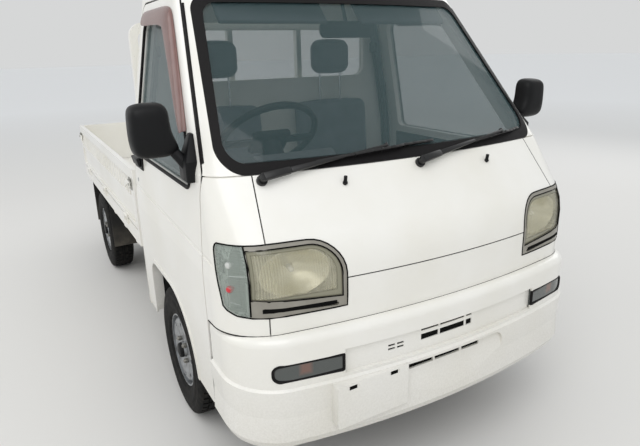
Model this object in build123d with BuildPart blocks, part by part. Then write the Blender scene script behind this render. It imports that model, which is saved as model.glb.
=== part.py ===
"""Kei truck: a two-seat cab over the front wheels and a drop-side bed, in millimetres.

X points forward, Y to the truck's left, Z up. The origin is on the ground, at the middle of the length.
The driver sits on the right (negative Y). Left-hand pieces are modelled and mirrored to the right.
"""

from build123d import *

import os
from math import atan, cos, hypot, radians, sin, sqrt, tan

os.makedirs("parts", exist_ok=True)

# Overall sizes
total_length = 3395.0
total_width = 1475.0
cab_height = 1780.0
front_x = total_length / 2
rear_x = -total_length / 2
half_width = total_width / 2
far = 2 * total_width

# Wheels, from the 145R12 tyre
front_axle_x = 850.0
wheelbase = 1900.0
rear_axle_x = front_axle_x - wheelbase
tyre_radius = 271.0
tyre_width = 146.0
tyre_shoulder = 12.0
rim_radius = 152.4
rim_width = 114.0
rim_sheet = 6.0
bolt_face = 48.0
half_track = 652.0
wheel_z = tyre_radius
kingpin_y = 600.0
kingpin_lean = 12.0
strut_radius = 24.0
strut_length = 368.0
strut_seat_radius = 45.0
spindle_radius = 16.0
wheel_bolt_circle = 50.0
running_gap = 0.3
moving_gap = 7.0

# Cab form
cab_back_x = 330.0
cab_back_radius = 60.0
crown_radius = 3000.0
crown_radius_top = 2600.0
cab_form_bottom = 240.0
sill_z = 300.0
belt_z = 1105.0
nose_x = 1649.0
nose_bottom_half = 731.0
belt_half = 718.0
roof_half = 590.0
nose_corner_radius = 190.0
belt_corner_radius = 100.0
roof_corner_radius = 110.0
screen_base_x = 1470.0
screen_rake = 0.832
shoulder_vertex_z = 880.0
shoulder_radius = 220.0
roof_edge_radius = 90.0
wall = 40.0
skin = 6.0
glass = 5.0

# Windscreen, seal and rear window
screen_bottom_half = 676.0
screen_top_half = 581.0
screen_top_z = 1650.0
screen_corner = 70.0
seal = 30.0
roof_seam_z = 1690.0
header_z = 1600.0
header_half = 560.0
back_half = 600.0
back_bottom_z = 560.0
rear_window_half = 520.0
rear_window_low_z = 1325.0
rear_window_top_z = 1585.0

# Doors and front wheel arches
door_front_x = 1340.0
door_rear_x = 402.0
door_bottom_z = 318.0
door_top_z = 1650.0
door_top_front_x = 905.0
door_flange = 12.0
door_top_corner = 60.0
door_low_corner = 20.0
door_lap = 6.0
window_frame = 72.0
window_low_z = 1050.0
window_top_z = 1580.0
arch_radius = 312.0
arch_rear_x = 548.0
arch_corner = 75.0
arch_lip = 3.0
arch_lip_width = 16.0
crease_rear_z = 892.0
crease_front_z = 851.0
crease_depth = 2.5
crease_width = 22.0
mirror_x = 1230.0
mirror_z = 1245.0
mirror_width = 130.0
mirror_height = 180.0
mirror_depth = 64.0
mirror_inner_y = 765.0
mirror_foot_x = 1296.0
mirror_foot_z = 1122.0
mirror_arm_radius = 11.0

# Nose panels, lamps and bumper
panel_seam_top_y = 580.0
panel_seam_turn_y = 605.0
panel_seam_y = 618.0
nose_seam_z = 806.0
nose_panel_low_z = 330.0
lamp_low_z = 716.0
lamp_side_low_z = 738.0
lamp_top_z = 930.0
lamp_inner_y = 379.0
lamp_rear_top_x = 1437.0
lamp_rear_low_x = 1477.0
lamp_split_y = 664.0
lamp_crown_radius = 105.0
lamp_bezel = 13.0
lamp_sill = 34.0
lamp_gap = 2.0
lamp_can_x = 1490.0
lamp_slot_height = 11.0
bumper_low_z = 290.0
bumper_front_top_z = 669.0
bumper_side_top_z = 640.0
bumper_sheet = 8.0
bumper_top_sheet = 20.0
bumper_corner_radius = 200.0
bumper_top_radius = 26.0
bumper_lip_z = 498.0
bumper_lip = 9.0
bumper_lamp_inner_y = 411.0
bumper_lamp_outer_y = 634.0
bumper_lamp_low_z = 519.0
bumper_lamp_top_z = 579.0
bumper_lamp_back_x = 1540.0
band_low_z = 508.0
band_top_z = 592.0
band_depth = 13.0
pan_half = 242.0
pan_low_z = 322.0
pan_top_z = 482.0
pan_depth = 26.0
air_hole_half = 225.0
air_hole_low_z = 440.0
air_hole_top_z = 596.0
plate_boss_x = 1660.0
plate_boss_radius = 14.0
plate_sheet = 2.0
plate_width = 266.0
plate_height = 146.0
plate_y = -328.0
plate_z = 419.0
plate_boss_pitch = 120.0
plate_hole_pitch = 154.0
plate_hole_drop = 14.0
seam_width = 4.0
seam_depth = 5.0

# Cab floor and furniture
deck_top_z = 780.0
foot_z = 600.0
floor_sheet = 20.0
floor_half = 686.0
riser_x = 980.0
toe_x = 1540.0
house_clear = 4.0
house_inner_y = 430.0
dash_top_z = 1080.0
dash_half = 650.0
lever_y = -55.0
room_mirror_x = 985.0
room_mirror_y = 25.0
room_mirror_z = 1530.0
nozzle_z = 1062.0
seat_half = 225.0
seat_places = (-320.0, 290.0)
steering_wheel_radius = 185.0
steering_y = -350.0
steering_x = 1032.0
steering_z = 1145.0
steering_tilt = 45.0

# Frame and drive line
rail_y = 385.0
rail_width = 60.0
rail_height = 90.0
rear_rail_z = 440.0
front_rail_z = 330.0
rail_rear_x = -1600.0
rail_front_x = 1560.0
axle_tube_radius = 32.0
differential_radius = 85.0
back_plate_radius = 105.0
back_plate_y = 592.0
back_plate_sheet = 8.0
engine_front_x = 890.0
engine_rear_x = 480.0
engine_half = 215.0
engine_top_z = 700.0
gearbox_rear_x = 150.0
shaft_front_z = 420.0
shaft_radius = 28.0
pipe_radius = 18.0
exhaust_y = -255.0
silencer_z = 345.0
silencer_front_x = -250.0
silencer_rear_x = -650.0
tank_x = -380.0
tank_z = 430.0
tank_length = 520.0
tank_height = 200.0
tank_depth = 240.0
arm_z = 196.0
arm_sheet = 14.0
vent_circle = 114.0
vent_count = 8
vent_radius = 9.0
wheel_bolt_radius = 6.5
spare_x = -1415.0
spare_z = 367.0
spare_hole = 140.0
tail_y = -312.0
tail_z = 395.0
leaf_reach = 500.0
leaf_rise = 75.0
leaf_thickness = 26.0
leaf_width = 50.0
eye_radius = 20.0

# Bed
deck_z = 655.0
deck_sheet = 21.0
bed_low_z = 560.0
gate_height = 300.0
gate_thickness = 24.0
gate_low_z = 640.0
gate_clear = 6.0
hinge_radius = 5.5
hinge_out = 6.0
hinge_z = 645.0
board_front_x = 293.0
board_sheet = 25.0
guard_y = 640.0
guard_top_z = 1590.0
guard_foot = 45.0
guard_bar = 34.0
guard_bar_y = 187.0
sill_width = 50.0
bed_beams = (-1405.0, -1050.0, -695.0, -300.0, 60.0)
rib_band = 90.0
rib_pitch = 60.0
rib_width = 24.0
rib_depth = 8.0
barrel_length = 60.0
lug_width = 12.0
lamp_depth = 50.0
lamp_width = 210.0
lamp_height = 95.0
rear_lamp_y = 560.0
flap_front_x = -695.0
flap_rear_x = -1405.0
flap_low_z = 250.0
flap_y = 645.0
flap_width = 150.0

# Worked-out places
front_view = Plane.YZ.offset(front_axle_x)
tailgate_face_x = rear_x + hinge_radius + hinge_out
side_face_y = half_width - hinge_radius - hinge_out
gate_top_z = gate_low_z + gate_height
board_rear_x = board_front_x - board_sheet
house_radius = arch_radius + house_clear
guard_low_z = deck_z + guard_foot
leaf_low_z = wheel_z + axle_tube_radius + 4.0
leaf_end_z = leaf_low_z + leaf_rise
strut_foot = strut_radius * sin(radians(kingpin_lean)) + running_gap
strut_seat_z = wheel_z + house_radius + floor_sheet / 2
strut_seat_length = (strut_seat_z - arm_z) / cos(radians(kingpin_lean)) - strut_length
spindle_end_y = half_track + 44.0


def export(part, label):
    """Names a finished piece and writes it as one STEP file."""
    part.label = label
    export_step(part, f"parts/{label}.step")


def mirrored(part):
    """A left-hand piece and its right-hand copy as one node."""
    with BuildPart() as pair:
        add(part)
        add(part.mirror(Plane.XZ))
    return pair.part


def outline(plane, points, radius=0.0):
    """A closed polygon on a plane, with all its corners rounded by one radius."""
    with BuildSketch(plane) as sketch:
        with BuildLine():
            Polyline(*points, close=True)
        make_face()
        if radius > 0:
            fillet(sketch.vertices(), radius)
    return sketch.sketch


def layer(outer, inner):
    """The wall between two nested forms."""
    with BuildPart() as wall_layer:
        add(outer)
        add(inner, mode=Mode.SUBTRACT)
    return wall_layer.part


def plan_section(z, front, crown, half, corner, back, back_corner, inset):
    """One horizontal section of the cab: crowned front, two corners, straight sides and back."""
    nose = front - inset
    radius = crown - inset
    side = half - inset
    turn = max(corner - inset, 12.0)
    tangent_x = nose - radius + sqrt((radius - turn) ** 2 - (side - turn) ** 2)
    lean = (side - turn) / (radius - turn)
    crown_y = radius * lean
    crown_x = nose - radius + radius * sqrt(1 - lean**2)
    half_turn = sqrt((1 - lean) / 2)
    middle_x = tangent_x + turn * half_turn
    middle_y = side - turn + turn * sqrt(1 - half_turn**2)
    rear = back + inset
    bend_radius = max(back_corner - inset, 8.0)
    bend = bend_radius * (1 - sqrt(0.5))
    with BuildSketch(Plane.XY.offset(z)) as section:
        with BuildLine():
            ThreePointArc((crown_x, -crown_y), (nose, 0), (crown_x, crown_y))
            ThreePointArc((crown_x, crown_y), (middle_x, middle_y), (tangent_x, side))
            Line((tangent_x, side), (rear + bend_radius, side))
            ThreePointArc((rear + bend_radius, side), (rear + bend, side - bend), (rear, side - bend_radius))
            Line((rear, side - bend_radius), (rear, bend_radius - side))
            ThreePointArc((rear, bend_radius - side), (rear + bend, bend - side), (rear + bend_radius, -side))
            Line((rear + bend_radius, -side), (tangent_x, -side))
            ThreePointArc((tangent_x, -side), (middle_x, -middle_y), (crown_x, -crown_y))
        make_face()
    return section.sketch


def nose_profile_x(z):
    """How far forward the cab's centre line is at height z: upright, rounded, then raked."""
    slope = (nose_x - screen_base_x) / (belt_z - shoulder_vertex_z)
    lean = atan(slope)
    arc_start_z = shoulder_vertex_z - shoulder_radius * tan(lean / 2)
    arc_end_z = arc_start_z + shoulder_radius * sin(lean)
    if z <= arc_start_z:
        return nose_x
    if z >= arc_end_z:
        return nose_x - slope * (z - shoulder_vertex_z)
    return nose_x - shoulder_radius + sqrt(shoulder_radius**2 - (z - arc_start_z) ** 2)


def cab_level(z):
    """Front, crown radius, half width and corner radius of the cab's outer form at height z."""
    if z <= belt_z:
        rise = max(0.0, (z - 800.0) / (belt_z - 800.0))
        half = nose_bottom_half + 3.0 * min(1.0, (z - cab_form_bottom) / 500.0)
        half += rise * (belt_half - nose_bottom_half - 3.0)
        corner = nose_corner_radius + rise * (belt_corner_radius - nose_corner_radius)
        return nose_profile_x(z), crown_radius, half, corner
    rise = (z - belt_z) / (cab_height - belt_z)
    front = screen_base_x - screen_rake * (z - belt_z)
    crown = crown_radius + rise * (crown_radius_top - crown_radius)
    half = belt_half + rise * (roof_half - belt_half)
    corner = belt_corner_radius + rise * (roof_corner_radius - belt_corner_radius)
    return front, crown, half, corner


def cab_volume(inset):
    """The cab's closed outer form, or the same form with every wall moved in by inset."""
    edge = max(roof_edge_radius - inset, 25.0)
    edge_z = cab_height - inset - edge
    rounding = [(edge_z + edge * sin(radians(a)), edge * (1 - cos(radians(a)))) for a in (0, 25, 50, 70, 90)]
    runs = (
        (((cab_form_bottom, 0.0), (800.0, 0.0)), True),
        (((800.0, 0.0), (850.0, 0.0), (900.0, 0.0), (945.0, 0.0)), False),
        (((945.0, 0.0), (belt_z, 0.0)), True),
        (((belt_z, 0.0), (edge_z, 0.0)), True),
        (rounding, False),
    )
    with BuildPart() as volume:
        for levels, straight in runs:
            sections = []
            for z, rounded in levels:
                front, crown, half, corner = cab_level(z)
                rake_shift = (hypot(1, screen_rake) - 1) * inset if z > 900.0 else 0.0
                sections.append(
                    plan_section(
                        z, front - rake_shift, crown, half, corner,
                        cab_back_x, cab_back_radius, inset + rounded,
                    )
                )
            loft(sections, ruled=straight)
    return volume.part


def bumper_volume(inset):
    """The bumper's outer form filled in, or the same form with its skin moved in by inset."""
    # Height, distance in from the full front and width: flared foot, hollow, lip, upright face
    levels = (
        (bumper_low_z, 14.0), (bumper_low_z + 26.0, 2.0), (bumper_low_z + 110.0, 6.0), (bumper_lip_z - 6.0, 0.0),
        (bumper_lip_z, bumper_lip), (700.0, bumper_lip),
    )
    with BuildPart() as volume:
        for step in zip(levels, levels[1:]):
            sections = [
                plan_section(
                    z, front_x, crown_radius, half_width, bumper_corner_radius,
                    door_front_x - 60.0 - inset - inward, 12.0, inset + inward,
                )
                for z, inward in step
            ]
            loft(sections, ruled=True)
    return volume.part


def door_outline(grow, low_z):
    """The door seen from the side, grown at its front, top and rear."""
    lean = (door_front_x - door_top_front_x) / (door_top_z - belt_z)
    slant_shift = grow * hypot(1, lean)
    front = door_front_x + grow
    top = door_top_z + grow
    top_front_x = door_top_front_x + slant_shift - lean * grow
    belt_corner_z = belt_z + (slant_shift - grow) / lean
    with BuildSketch(Plane.XZ) as sketch:
        with BuildLine():
            Polyline(
                (door_rear_x - grow, low_z), (door_rear_x - grow, top), (top_front_x, top),
                (front, belt_corner_z), (front, low_z), close=True,
            )
        make_face()
        fillet(sketch.vertices().sort_by(Axis.Y)[2:], door_top_corner + grow)
        fillet(sketch.vertices().group_by(Axis.Y)[0], door_low_corner + grow)
    return sketch.sketch


def arch_outline(grow):
    """The front wheel arch seen from the side: round ahead of the axle, squarer behind it."""
    top = wheel_z + arch_radius + grow
    rear = arch_rear_x - grow
    with BuildSketch(Plane.XZ) as arch:
        with Locations((front_axle_x, wheel_z)):
            Circle(arch_radius + grow)
        with BuildLine():
            Polyline((rear, 0.0), (rear, top), (front_axle_x, top), (front_axle_x, 0.0), close=True)
        make_face()
        fillet(arch.vertices().group_by(Axis.X)[0].sort_by(Axis.Y)[-1], arch_corner + grow)
    return arch.sketch


def lamp_outline(plane, inset, sill, outer):
    """A headlamp's form on a plane square to X, moved in by inset, its foot by sill, ending at outer."""
    inner = lamp_inner_y + inset
    low = lamp_low_z + sill
    top = lamp_top_z - inset
    with BuildSketch(plane) as lamp:
        with BuildLine():
            Polyline(
                (inner, low), (inner, top), (outer, top), (outer, low + lamp_side_low_z - lamp_low_z), close=True,
            )
        make_face()
        fillet(lamp.vertices().group_by(Axis.X)[0].sort_by(Axis.Y)[-1], lamp_crown_radius - inset)
    return lamp.sketch


def lens_window(plane, inset):
    """A headlamp's main window on a plane square to X, moved in by inset."""
    return lamp_outline(plane, lamp_bezel + inset, lamp_sill + inset, lamp_split_y - lamp_gap - inset)


def wheel_plane(x, y):
    """A plane through an axle line, with its first axis up and its second to the left."""
    return Plane(origin=(x, y, wheel_z), x_dir=(0, 0, 1), z_dir=(-1, 0, 0))


def tyre_points(low_radius):
    """A tyre's cross-section as radius and width from its middle: bead, sidewall, shoulder, tread."""
    half = tyre_width / 2
    side = (
        (low_radius, rim_width / 2), (205.0, half), (tyre_radius - tyre_shoulder, half - tyre_shoulder),
        (tyre_radius, half - 2 * tyre_shoulder),
    )
    return list(side) + [(radius, -width) for radius, width in reversed(side)]


def rim_section(x, y):
    """Half of a steel wheel's cross-section, from the barrel through the dished disc to the hub cap."""
    out = 1.0 if y > 0 else -1.0
    barrel = rim_radius - rim_sheet
    half = rim_width / 2
    # Radius, distance outward from the wheel's middle plane
    face = ((barrel, 36.0), (128.0, 54.0), (100.0, 54.0), (80.0, bolt_face), (34.0, bolt_face), (30.0, 62.0), (0.0, 64.0))
    hub = (
        (0.0, 50.0), (spindle_radius + running_gap, 50.0), (spindle_radius + running_gap, -6.0), (40.0, -6.0),
        (40.0, 40.0), (82.0, 40.0), (102.0, 46.0), (124.0, 46.0), (barrel, 28.0),
    )
    rim = ((barrel, -half), (rim_radius, -half), (rim_radius, half), (barrel, half))
    points = [(r, out * d) for r, d in face + hub + rim]
    with BuildSketch(wheel_plane(x, y)) as section:
        with BuildLine():
            Polyline(*points, close=True)
        make_face()
    return section.sketch


def crease_points(z):
    """The door crease in section at height z: a soft fall from above to a sharp foot."""
    half = cab_level(z)[2]
    return [(half + 4.0, z + crease_width), (half, z + crease_width), (half - crease_depth, z), (half + 4.0, z - 2.0)]


# The cab's nested forms, from the paint inwards
screen_out = skin
screen_in = screen_out + glass
door_glass_in = screen_in + glass
seal_in = skin + running_gap
forms = {inset: cab_volume(inset) for inset in (0.0, skin, seal_in, screen_in, door_glass_in, wall - skin, wall)}
cab_shell = layer(forms[0.0], forms[wall])
skin_shell = layer(forms[0.0], forms[skin])
lining_shell = layer(forms[skin], forms[wall])
screen_shell = layer(forms[screen_out], forms[screen_in])
door_glass_shell = layer(forms[screen_in], forms[door_glass_in])
seal_shell = layer(forms[0.0], forms[door_glass_in])
cab_space = forms[wall]

# Outlines shared by neighbouring panels, seen from the front (Y, Z) and from the side (X, Z)
windscreen_hole = outline(
    front_view,
    [
        (-screen_bottom_half, belt_z), (screen_bottom_half, belt_z),
        (screen_top_half, screen_top_z), (-screen_top_half, screen_top_z),
    ],
    screen_corner,
)
windscreen_sight = outline(
    front_view,
    [
        (seal - screen_bottom_half, belt_z + seal), (screen_bottom_half - seal, belt_z + seal),
        (screen_top_half - seal, screen_top_z - seal), (seal - screen_top_half, screen_top_z - seal),
    ],
    screen_corner - seal / 2,
)
roof_outline = outline(
    Plane.YZ,
    [
        (-far, roof_seam_z), (-header_half, roof_seam_z), (-header_half, header_z), (header_half, header_z),
        (header_half, roof_seam_z), (far, roof_seam_z), (far, 2 * cab_height), (-far, 2 * cab_height),
    ],
)
back_outline = outline(
    Plane.YZ,
    [(-back_half, back_bottom_z), (back_half, back_bottom_z), (back_half, roof_seam_z), (-back_half, roof_seam_z)],
)
rear_window_outline = outline(
    Plane.YZ,
    [
        (-rear_window_half, rear_window_low_z), (rear_window_half, rear_window_low_z),
        (rear_window_half, rear_window_top_z), (-rear_window_half, rear_window_top_z),
    ],
    45.0,
)
window_lean = (door_front_x - door_top_front_x) / (door_top_z - belt_z)
window_front_x = door_front_x - window_frame * hypot(1, window_lean)
window_outline = outline(
    Plane.XZ,
    [
        (door_rear_x + window_frame, window_low_z),
        (window_front_x + window_lean * (belt_z - window_low_z), window_low_z),
        (window_front_x - window_lean * (window_top_z - belt_z), window_top_z),
        (door_rear_x + window_frame, window_top_z),
    ],
    40.0,
)
centre_seam = [
    (panel_seam_y, nose_panel_low_z), (panel_seam_y, lamp_low_z), (panel_seam_turn_y, lamp_top_z),
    (panel_seam_top_y, belt_z), (-panel_seam_top_y, belt_z), (-panel_seam_turn_y, lamp_top_z),
    (-panel_seam_y, lamp_low_z), (-panel_seam_y, nose_panel_low_z),
]
bumper_slope = (bumper_front_top_z - bumper_side_top_z) / (front_x - door_front_x)
bumper_line_back_x = door_front_x + moving_gap
bumper_line_back_z = bumper_side_top_z + bumper_slope * moving_gap
bumper_line_front_z = bumper_line_back_z + bumper_slope * (front_x + 10.0 - bumper_line_back_x)

# Thin grooves where the nose panels, the corner panels and the cab sides meet
with BuildPart() as seams:
    for side in (-1, 1):
        with BuildSketch(front_view):
            with BuildLine():
                Polyline(*[(side * y, z) for y, z in centre_seam[:4]])
            trace(line_width=seam_width)
    with BuildSketch(front_view):
        with Locations((0, nose_seam_z)):
            Rectangle(2 * lamp_inner_y, seam_width)
        with Locations((0, belt_z)):
            Rectangle(far, seam_width)
    extrude(amount=far)
    add(layer(forms[0.0], cab_volume(seam_depth)), mode=Mode.INTERSECT)

# Roof panel with the windscreen header
with BuildPart() as roof_panel:
    add(cab_shell)
    extrude(roof_outline, amount=far, both=True, mode=Mode.INTERSECT)
    extrude(windscreen_hole, amount=far, mode=Mode.SUBTRACT)
export(roof_panel.part, "roof_panel")

# Rear wall of the cab, with its window
with BuildPart() as back_panel:
    add(cab_shell)
    extrude(back_outline, amount=cab_back_x + wall, mode=Mode.INTERSECT)
    extrude(roof_outline, amount=far, both=True, mode=Mode.SUBTRACT)
    extrude(rear_window_outline, amount=far, mode=Mode.SUBTRACT)
export(back_panel.part, "back_panel")

with BuildPart() as rear_window:
    add(door_glass_shell)
    extrude(rear_window_outline, amount=cab_back_x + wall, mode=Mode.INTERSECT)
export(rear_window.part, "rear_window")

# Cab sides: rear pillar, cant rail and windscreen pillar, with a jamb seal under the door's edge
side_limits = outline(
    Plane.XZ,
    [
        (cab_back_x - wall, sill_z), (cab_back_x - wall, roof_seam_z), (front_x, roof_seam_z),
        (front_x, belt_z), (door_front_x, belt_z), (door_front_x, sill_z),
    ],
)
with BuildPart() as jamb:
    add(forms[seal_in])
    add(forms[wall], mode=Mode.SUBTRACT)
    extrude(door_outline(-door_lap, 0.0), amount=-far, mode=Mode.SUBTRACT)
with BuildPart() as cab_side:
    add(cab_shell)
    extrude(door_outline(moving_gap, 0.0), amount=-far, mode=Mode.SUBTRACT)
    add(jamb.part)
    extrude(side_limits, amount=-far, mode=Mode.INTERSECT)
    extrude(windscreen_hole, amount=far, mode=Mode.SUBTRACT)
    extrude(roof_outline, amount=far, both=True, mode=Mode.SUBTRACT)
    with BuildSketch(Plane.YZ):
        Rectangle(2 * back_half, 2 * roof_seam_z)
    extrude(amount=cab_back_x + wall, mode=Mode.SUBTRACT)
    add(seams.part, mode=Mode.SUBTRACT)
export(mirrored(cab_side.part), "cab_sides")

# Windscreen glass and its rubber seal
with BuildPart() as windscreen:
    add(screen_shell)
    extrude(windscreen_sight, amount=far, mode=Mode.INTERSECT)
export(windscreen.part, "windscreen")

with BuildPart() as windscreen_seal:
    add(seal_shell)
    extrude(windscreen_hole, amount=far, mode=Mode.INTERSECT)
    extrude(windscreen_sight, amount=far, mode=Mode.SUBTRACT)
export(windscreen_seal.part, "windscreen_seal")

# The space each headlamp takes out of the nose and its corner, and the main lens's window in its bezel
with BuildPart() as lamp_space:
    extrude(lamp_outline(front_view, 0.0, 0.0, far), amount=far)
    extrude(
        outline(
            Plane.XZ,
            [
                (lamp_rear_top_x, lamp_top_z + 1.0), (lamp_rear_low_x, lamp_side_low_z - 1.0),
                (lamp_rear_low_x + 80.0, lamp_low_z - 10.0), (front_x, lamp_low_z - 10.0),
                (front_x, lamp_top_z + 1.0),
            ],
            16.0,
        ),
        amount=-far,
        mode=Mode.INTERSECT,
    )
with BuildPart() as split_side:
    with Locations((front_x, lamp_split_y + far / 2, lamp_top_z)):
        Box(far, far, far)
with BuildPart() as lamp_can:
    extrude(lens_window(Plane.YZ.offset(lamp_can_x), -skin), amount=far)
    add(forms[screen_in], mode=Mode.INTERSECT)

# The crease along each door, running out in the corner panel at the headlamp
with BuildPart() as crease:
    with BuildSketch(Plane.YZ.offset(door_rear_x - 2 * moving_gap)):
        with BuildLine():
            Polyline(*crease_points(crease_rear_z), close=True)
        make_face()
    with BuildSketch(Plane.YZ.offset(lamp_rear_top_x + 60.0)):
        with BuildLine():
            Polyline(*crease_points(crease_front_z), close=True)
        make_face()
    loft(ruled=True)

# Upper nose panel, between the corner panels
with BuildPart() as front_panel:
    add(cab_shell)
    extrude(outline(front_view, centre_seam), amount=far, mode=Mode.INTERSECT)
    with BuildSketch(Plane.XY.offset(nose_seam_z)):
        Rectangle(2 * far, 2 * far)
    extrude(amount=-far, mode=Mode.SUBTRACT)
    add(lamp_space.part, mode=Mode.SUBTRACT)
    add(lamp_space.part.mirror(Plane.XZ), mode=Mode.SUBTRACT)
    add(seams.part, mode=Mode.SUBTRACT)
export(front_panel.part, "front_panel")

# Lower nose panel, bare between the headlamps and running down behind the bumper
with BuildPart() as nose_panel:
    add(cab_shell)
    extrude(outline(front_view, centre_seam), amount=far, mode=Mode.INTERSECT)
    with BuildSketch(Plane.XY.offset(nose_seam_z)):
        Rectangle(2 * far, 2 * far)
    extrude(amount=far, mode=Mode.SUBTRACT)
    add(lamp_space.part, mode=Mode.SUBTRACT)
    add(lamp_space.part.mirror(Plane.XZ), mode=Mode.SUBTRACT)
    add(seams.part, mode=Mode.SUBTRACT)
    with BuildSketch(front_view):
        with Locations((0, (air_hole_low_z + air_hole_top_z) / 2)):
            RectangleRounded(2 * air_hole_half, air_hole_top_z - air_hole_low_z, 20.0)
    extrude(amount=far, mode=Mode.SUBTRACT)
export(nose_panel.part, "nose_panel")

# Corner panels between the nose panels and the doors, resting on the bumper
with BuildPart() as corner_panel:
    add(cab_shell)
    extrude(
        outline(
            Plane.XZ,
            [
                (bumper_line_back_x, bumper_line_back_z), (front_x + 10.0, bumper_line_front_z),
                (front_x + 10.0, belt_z), (bumper_line_back_x, belt_z),
            ],
        ),
        amount=-far,
        mode=Mode.INTERSECT,
    )
    extrude(outline(front_view, centre_seam), amount=far, mode=Mode.SUBTRACT)
    add(lamp_space.part, mode=Mode.SUBTRACT)
    add(seams.part, mode=Mode.SUBTRACT)
    add(crease.part, mode=Mode.SUBTRACT)
export(mirrored(corner_panel.part), "corner_panels")

# Headlamps: a bezel with a slotted sill, a sunk main lens, a corner lens and the reflector housing
with BuildPart() as headlamp_bezel:
    add(layer(forms[0.0], forms[screen_in]))
    add(lamp_space.part, mode=Mode.INTERSECT)
    add(split_side.part, mode=Mode.SUBTRACT)
    extrude(lens_window(front_view, 0.0), amount=far, mode=Mode.SUBTRACT)
    with BuildSketch(front_view):
        with Locations(((lamp_inner_y + lamp_split_y) / 2, (lamp_low_z + lamp_side_low_z + lamp_sill) / 2 - 9.0)):
            SlotOverall(lamp_split_y - lamp_inner_y - 56.0, lamp_slot_height, rotation=3.5)
    extrude(amount=far, mode=Mode.SUBTRACT)
export(mirrored(headlamp_bezel.part), "headlamp_bezels")

with BuildPart() as headlamp_lens:
    add(layer(forms[skin], forms[screen_in]))
    extrude(lens_window(front_view, lamp_gap), amount=far, mode=Mode.INTERSECT)
export(mirrored(headlamp_lens.part), "headlamp_lenses")

with BuildPart() as corner_lens:
    add(skin_shell)
    add(lamp_space.part, mode=Mode.INTERSECT)
    add(split_side.part, mode=Mode.INTERSECT)
export(mirrored(corner_lens.part), "corner_lenses")

with BuildPart() as reflector_bowl:
    extrude(lens_window(Plane.YZ.offset(lamp_can_x + skin), 2 * lamp_gap), amount=far)
with BuildPart() as corner_pocket:
    add(layer(forms[skin], forms[wall - skin]))
    extrude(lamp_outline(front_view, 2 * skin, 2 * skin, far), amount=far, mode=Mode.INTERSECT)
    add(split_side.part.moved(Location((0, skin, 0))), mode=Mode.INTERSECT)
    with Locations((lamp_rear_low_x + 3 * skin + far / 2, 0, lamp_low_z)):
        Box(far, 2 * far, far, mode=Mode.INTERSECT)
with BuildPart() as headlamp_housing:
    add(layer(forms[screen_in], forms[wall]))
    add(lamp_space.part, mode=Mode.INTERSECT)
    add(split_side.part, mode=Mode.SUBTRACT)
    add(lamp_can.part)
    add(reflector_bowl.part, mode=Mode.SUBTRACT)
with BuildPart() as corner_housing:
    add(layer(forms[skin], forms[wall]))
    add(lamp_space.part, mode=Mode.INTERSECT)
    add(split_side.part, mode=Mode.INTERSECT)
    add(corner_pocket.part, mode=Mode.SUBTRACT)
    add(headlamp_housing.part)
export(mirrored(corner_housing.part), "headlamp_housings")

# Bumper: a moulded skin wrapping to the doors, with a recessed band, air slots and lamp openings
bumper_side_view = outline(
    Plane.XZ,
    [
        (bumper_line_back_x, bumper_low_z), (front_x + 10.0, bumper_low_z),
        (front_x + 10.0, bumper_line_front_z), (bumper_line_back_x, bumper_line_back_z),
    ],
)
with BuildSketch(Plane.YZ.offset(bumper_lamp_back_x)) as lamp_opening:
    with BuildLine():
        Polyline(
            (bumper_lamp_inner_y, bumper_lamp_low_z), (bumper_lamp_outer_y, bumper_lamp_low_z),
            (bumper_lamp_outer_y, bumper_lamp_top_z), (bumper_lamp_inner_y, bumper_lamp_top_z), close=True,
        )
    make_face()
    fillet(lamp_opening.vertices().group_by(Axis.X)[-1], 22.0)
with BuildPart() as bumper_hollow:
    add(bumper_volume(bumper_sheet))
    extrude(
        outline(
            Plane.XZ,
            [
                (0.0, 0.0), (front_x, 0.0), (front_x, bumper_line_front_z - bumper_top_sheet),
                (0.0, bumper_line_front_z - bumper_top_sheet - bumper_slope * front_x),
            ],
        ),
        amount=far,
        both=True,
        mode=Mode.INTERSECT,
    )
# Air slots: centre Y, centre Z, width, height
air_slots = (
    (-92.0, 581.0, 72.0, 9.0), (4.0, 581.0, 108.0, 9.0), (79.0, 581.0, 26.0, 9.0),
    (-92.0, 554.0, 72.0, 21.0), (4.0, 554.0, 108.0, 21.0), (79.0, 554.0, 26.0, 21.0),
    (-241.0, 556.0, 26.0, 7.0), (-208.0, 556.0, 26.0, 7.0), (-241.0, 543.0, 26.0, 7.0), (-208.0, 543.0, 26.0, 7.0),
    (-128.0, 463.0, 106.0, 22.0), (-12.0, 463.0, 110.0, 22.0), (93.0, 463.0, 80.0, 22.0),
)


def band_strip(grow):
    """The strip between the bumper's lamps, seen from the front."""
    with BuildSketch(front_view) as strip:
        with Locations((0, (band_low_z + band_top_z) / 2)):
            Rectangle(2 * bumper_lamp_inner_y, band_top_z - band_low_z + 2 * grow)
    return strip.sketch


def pan_wedge(back, grow):
    """The hollow under the band: deepest at its top, running out at its foot, moved back for its wall."""
    with BuildPart() as wedge:
        with BuildSketch(front_view):
            with Locations((0, (pan_low_z + pan_top_z) / 2 - 40.0)):
                RectangleRounded(2 * (pan_half + grow), pan_top_z - pan_low_z + 80.0 + 2 * grow, 45.0)
        extrude(amount=far)
        extrude(
            outline(
                Plane.XZ,
                [
                    (front_x - pan_depth - back, pan_top_z + grow), (front_x - back, pan_low_z),
                    (front_x + far, pan_low_z), (front_x + far, pan_top_z + grow),
                ],
            ),
            amount=far,
            both=True,
            mode=Mode.INTERSECT,
        )
    return wedge.part


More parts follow.
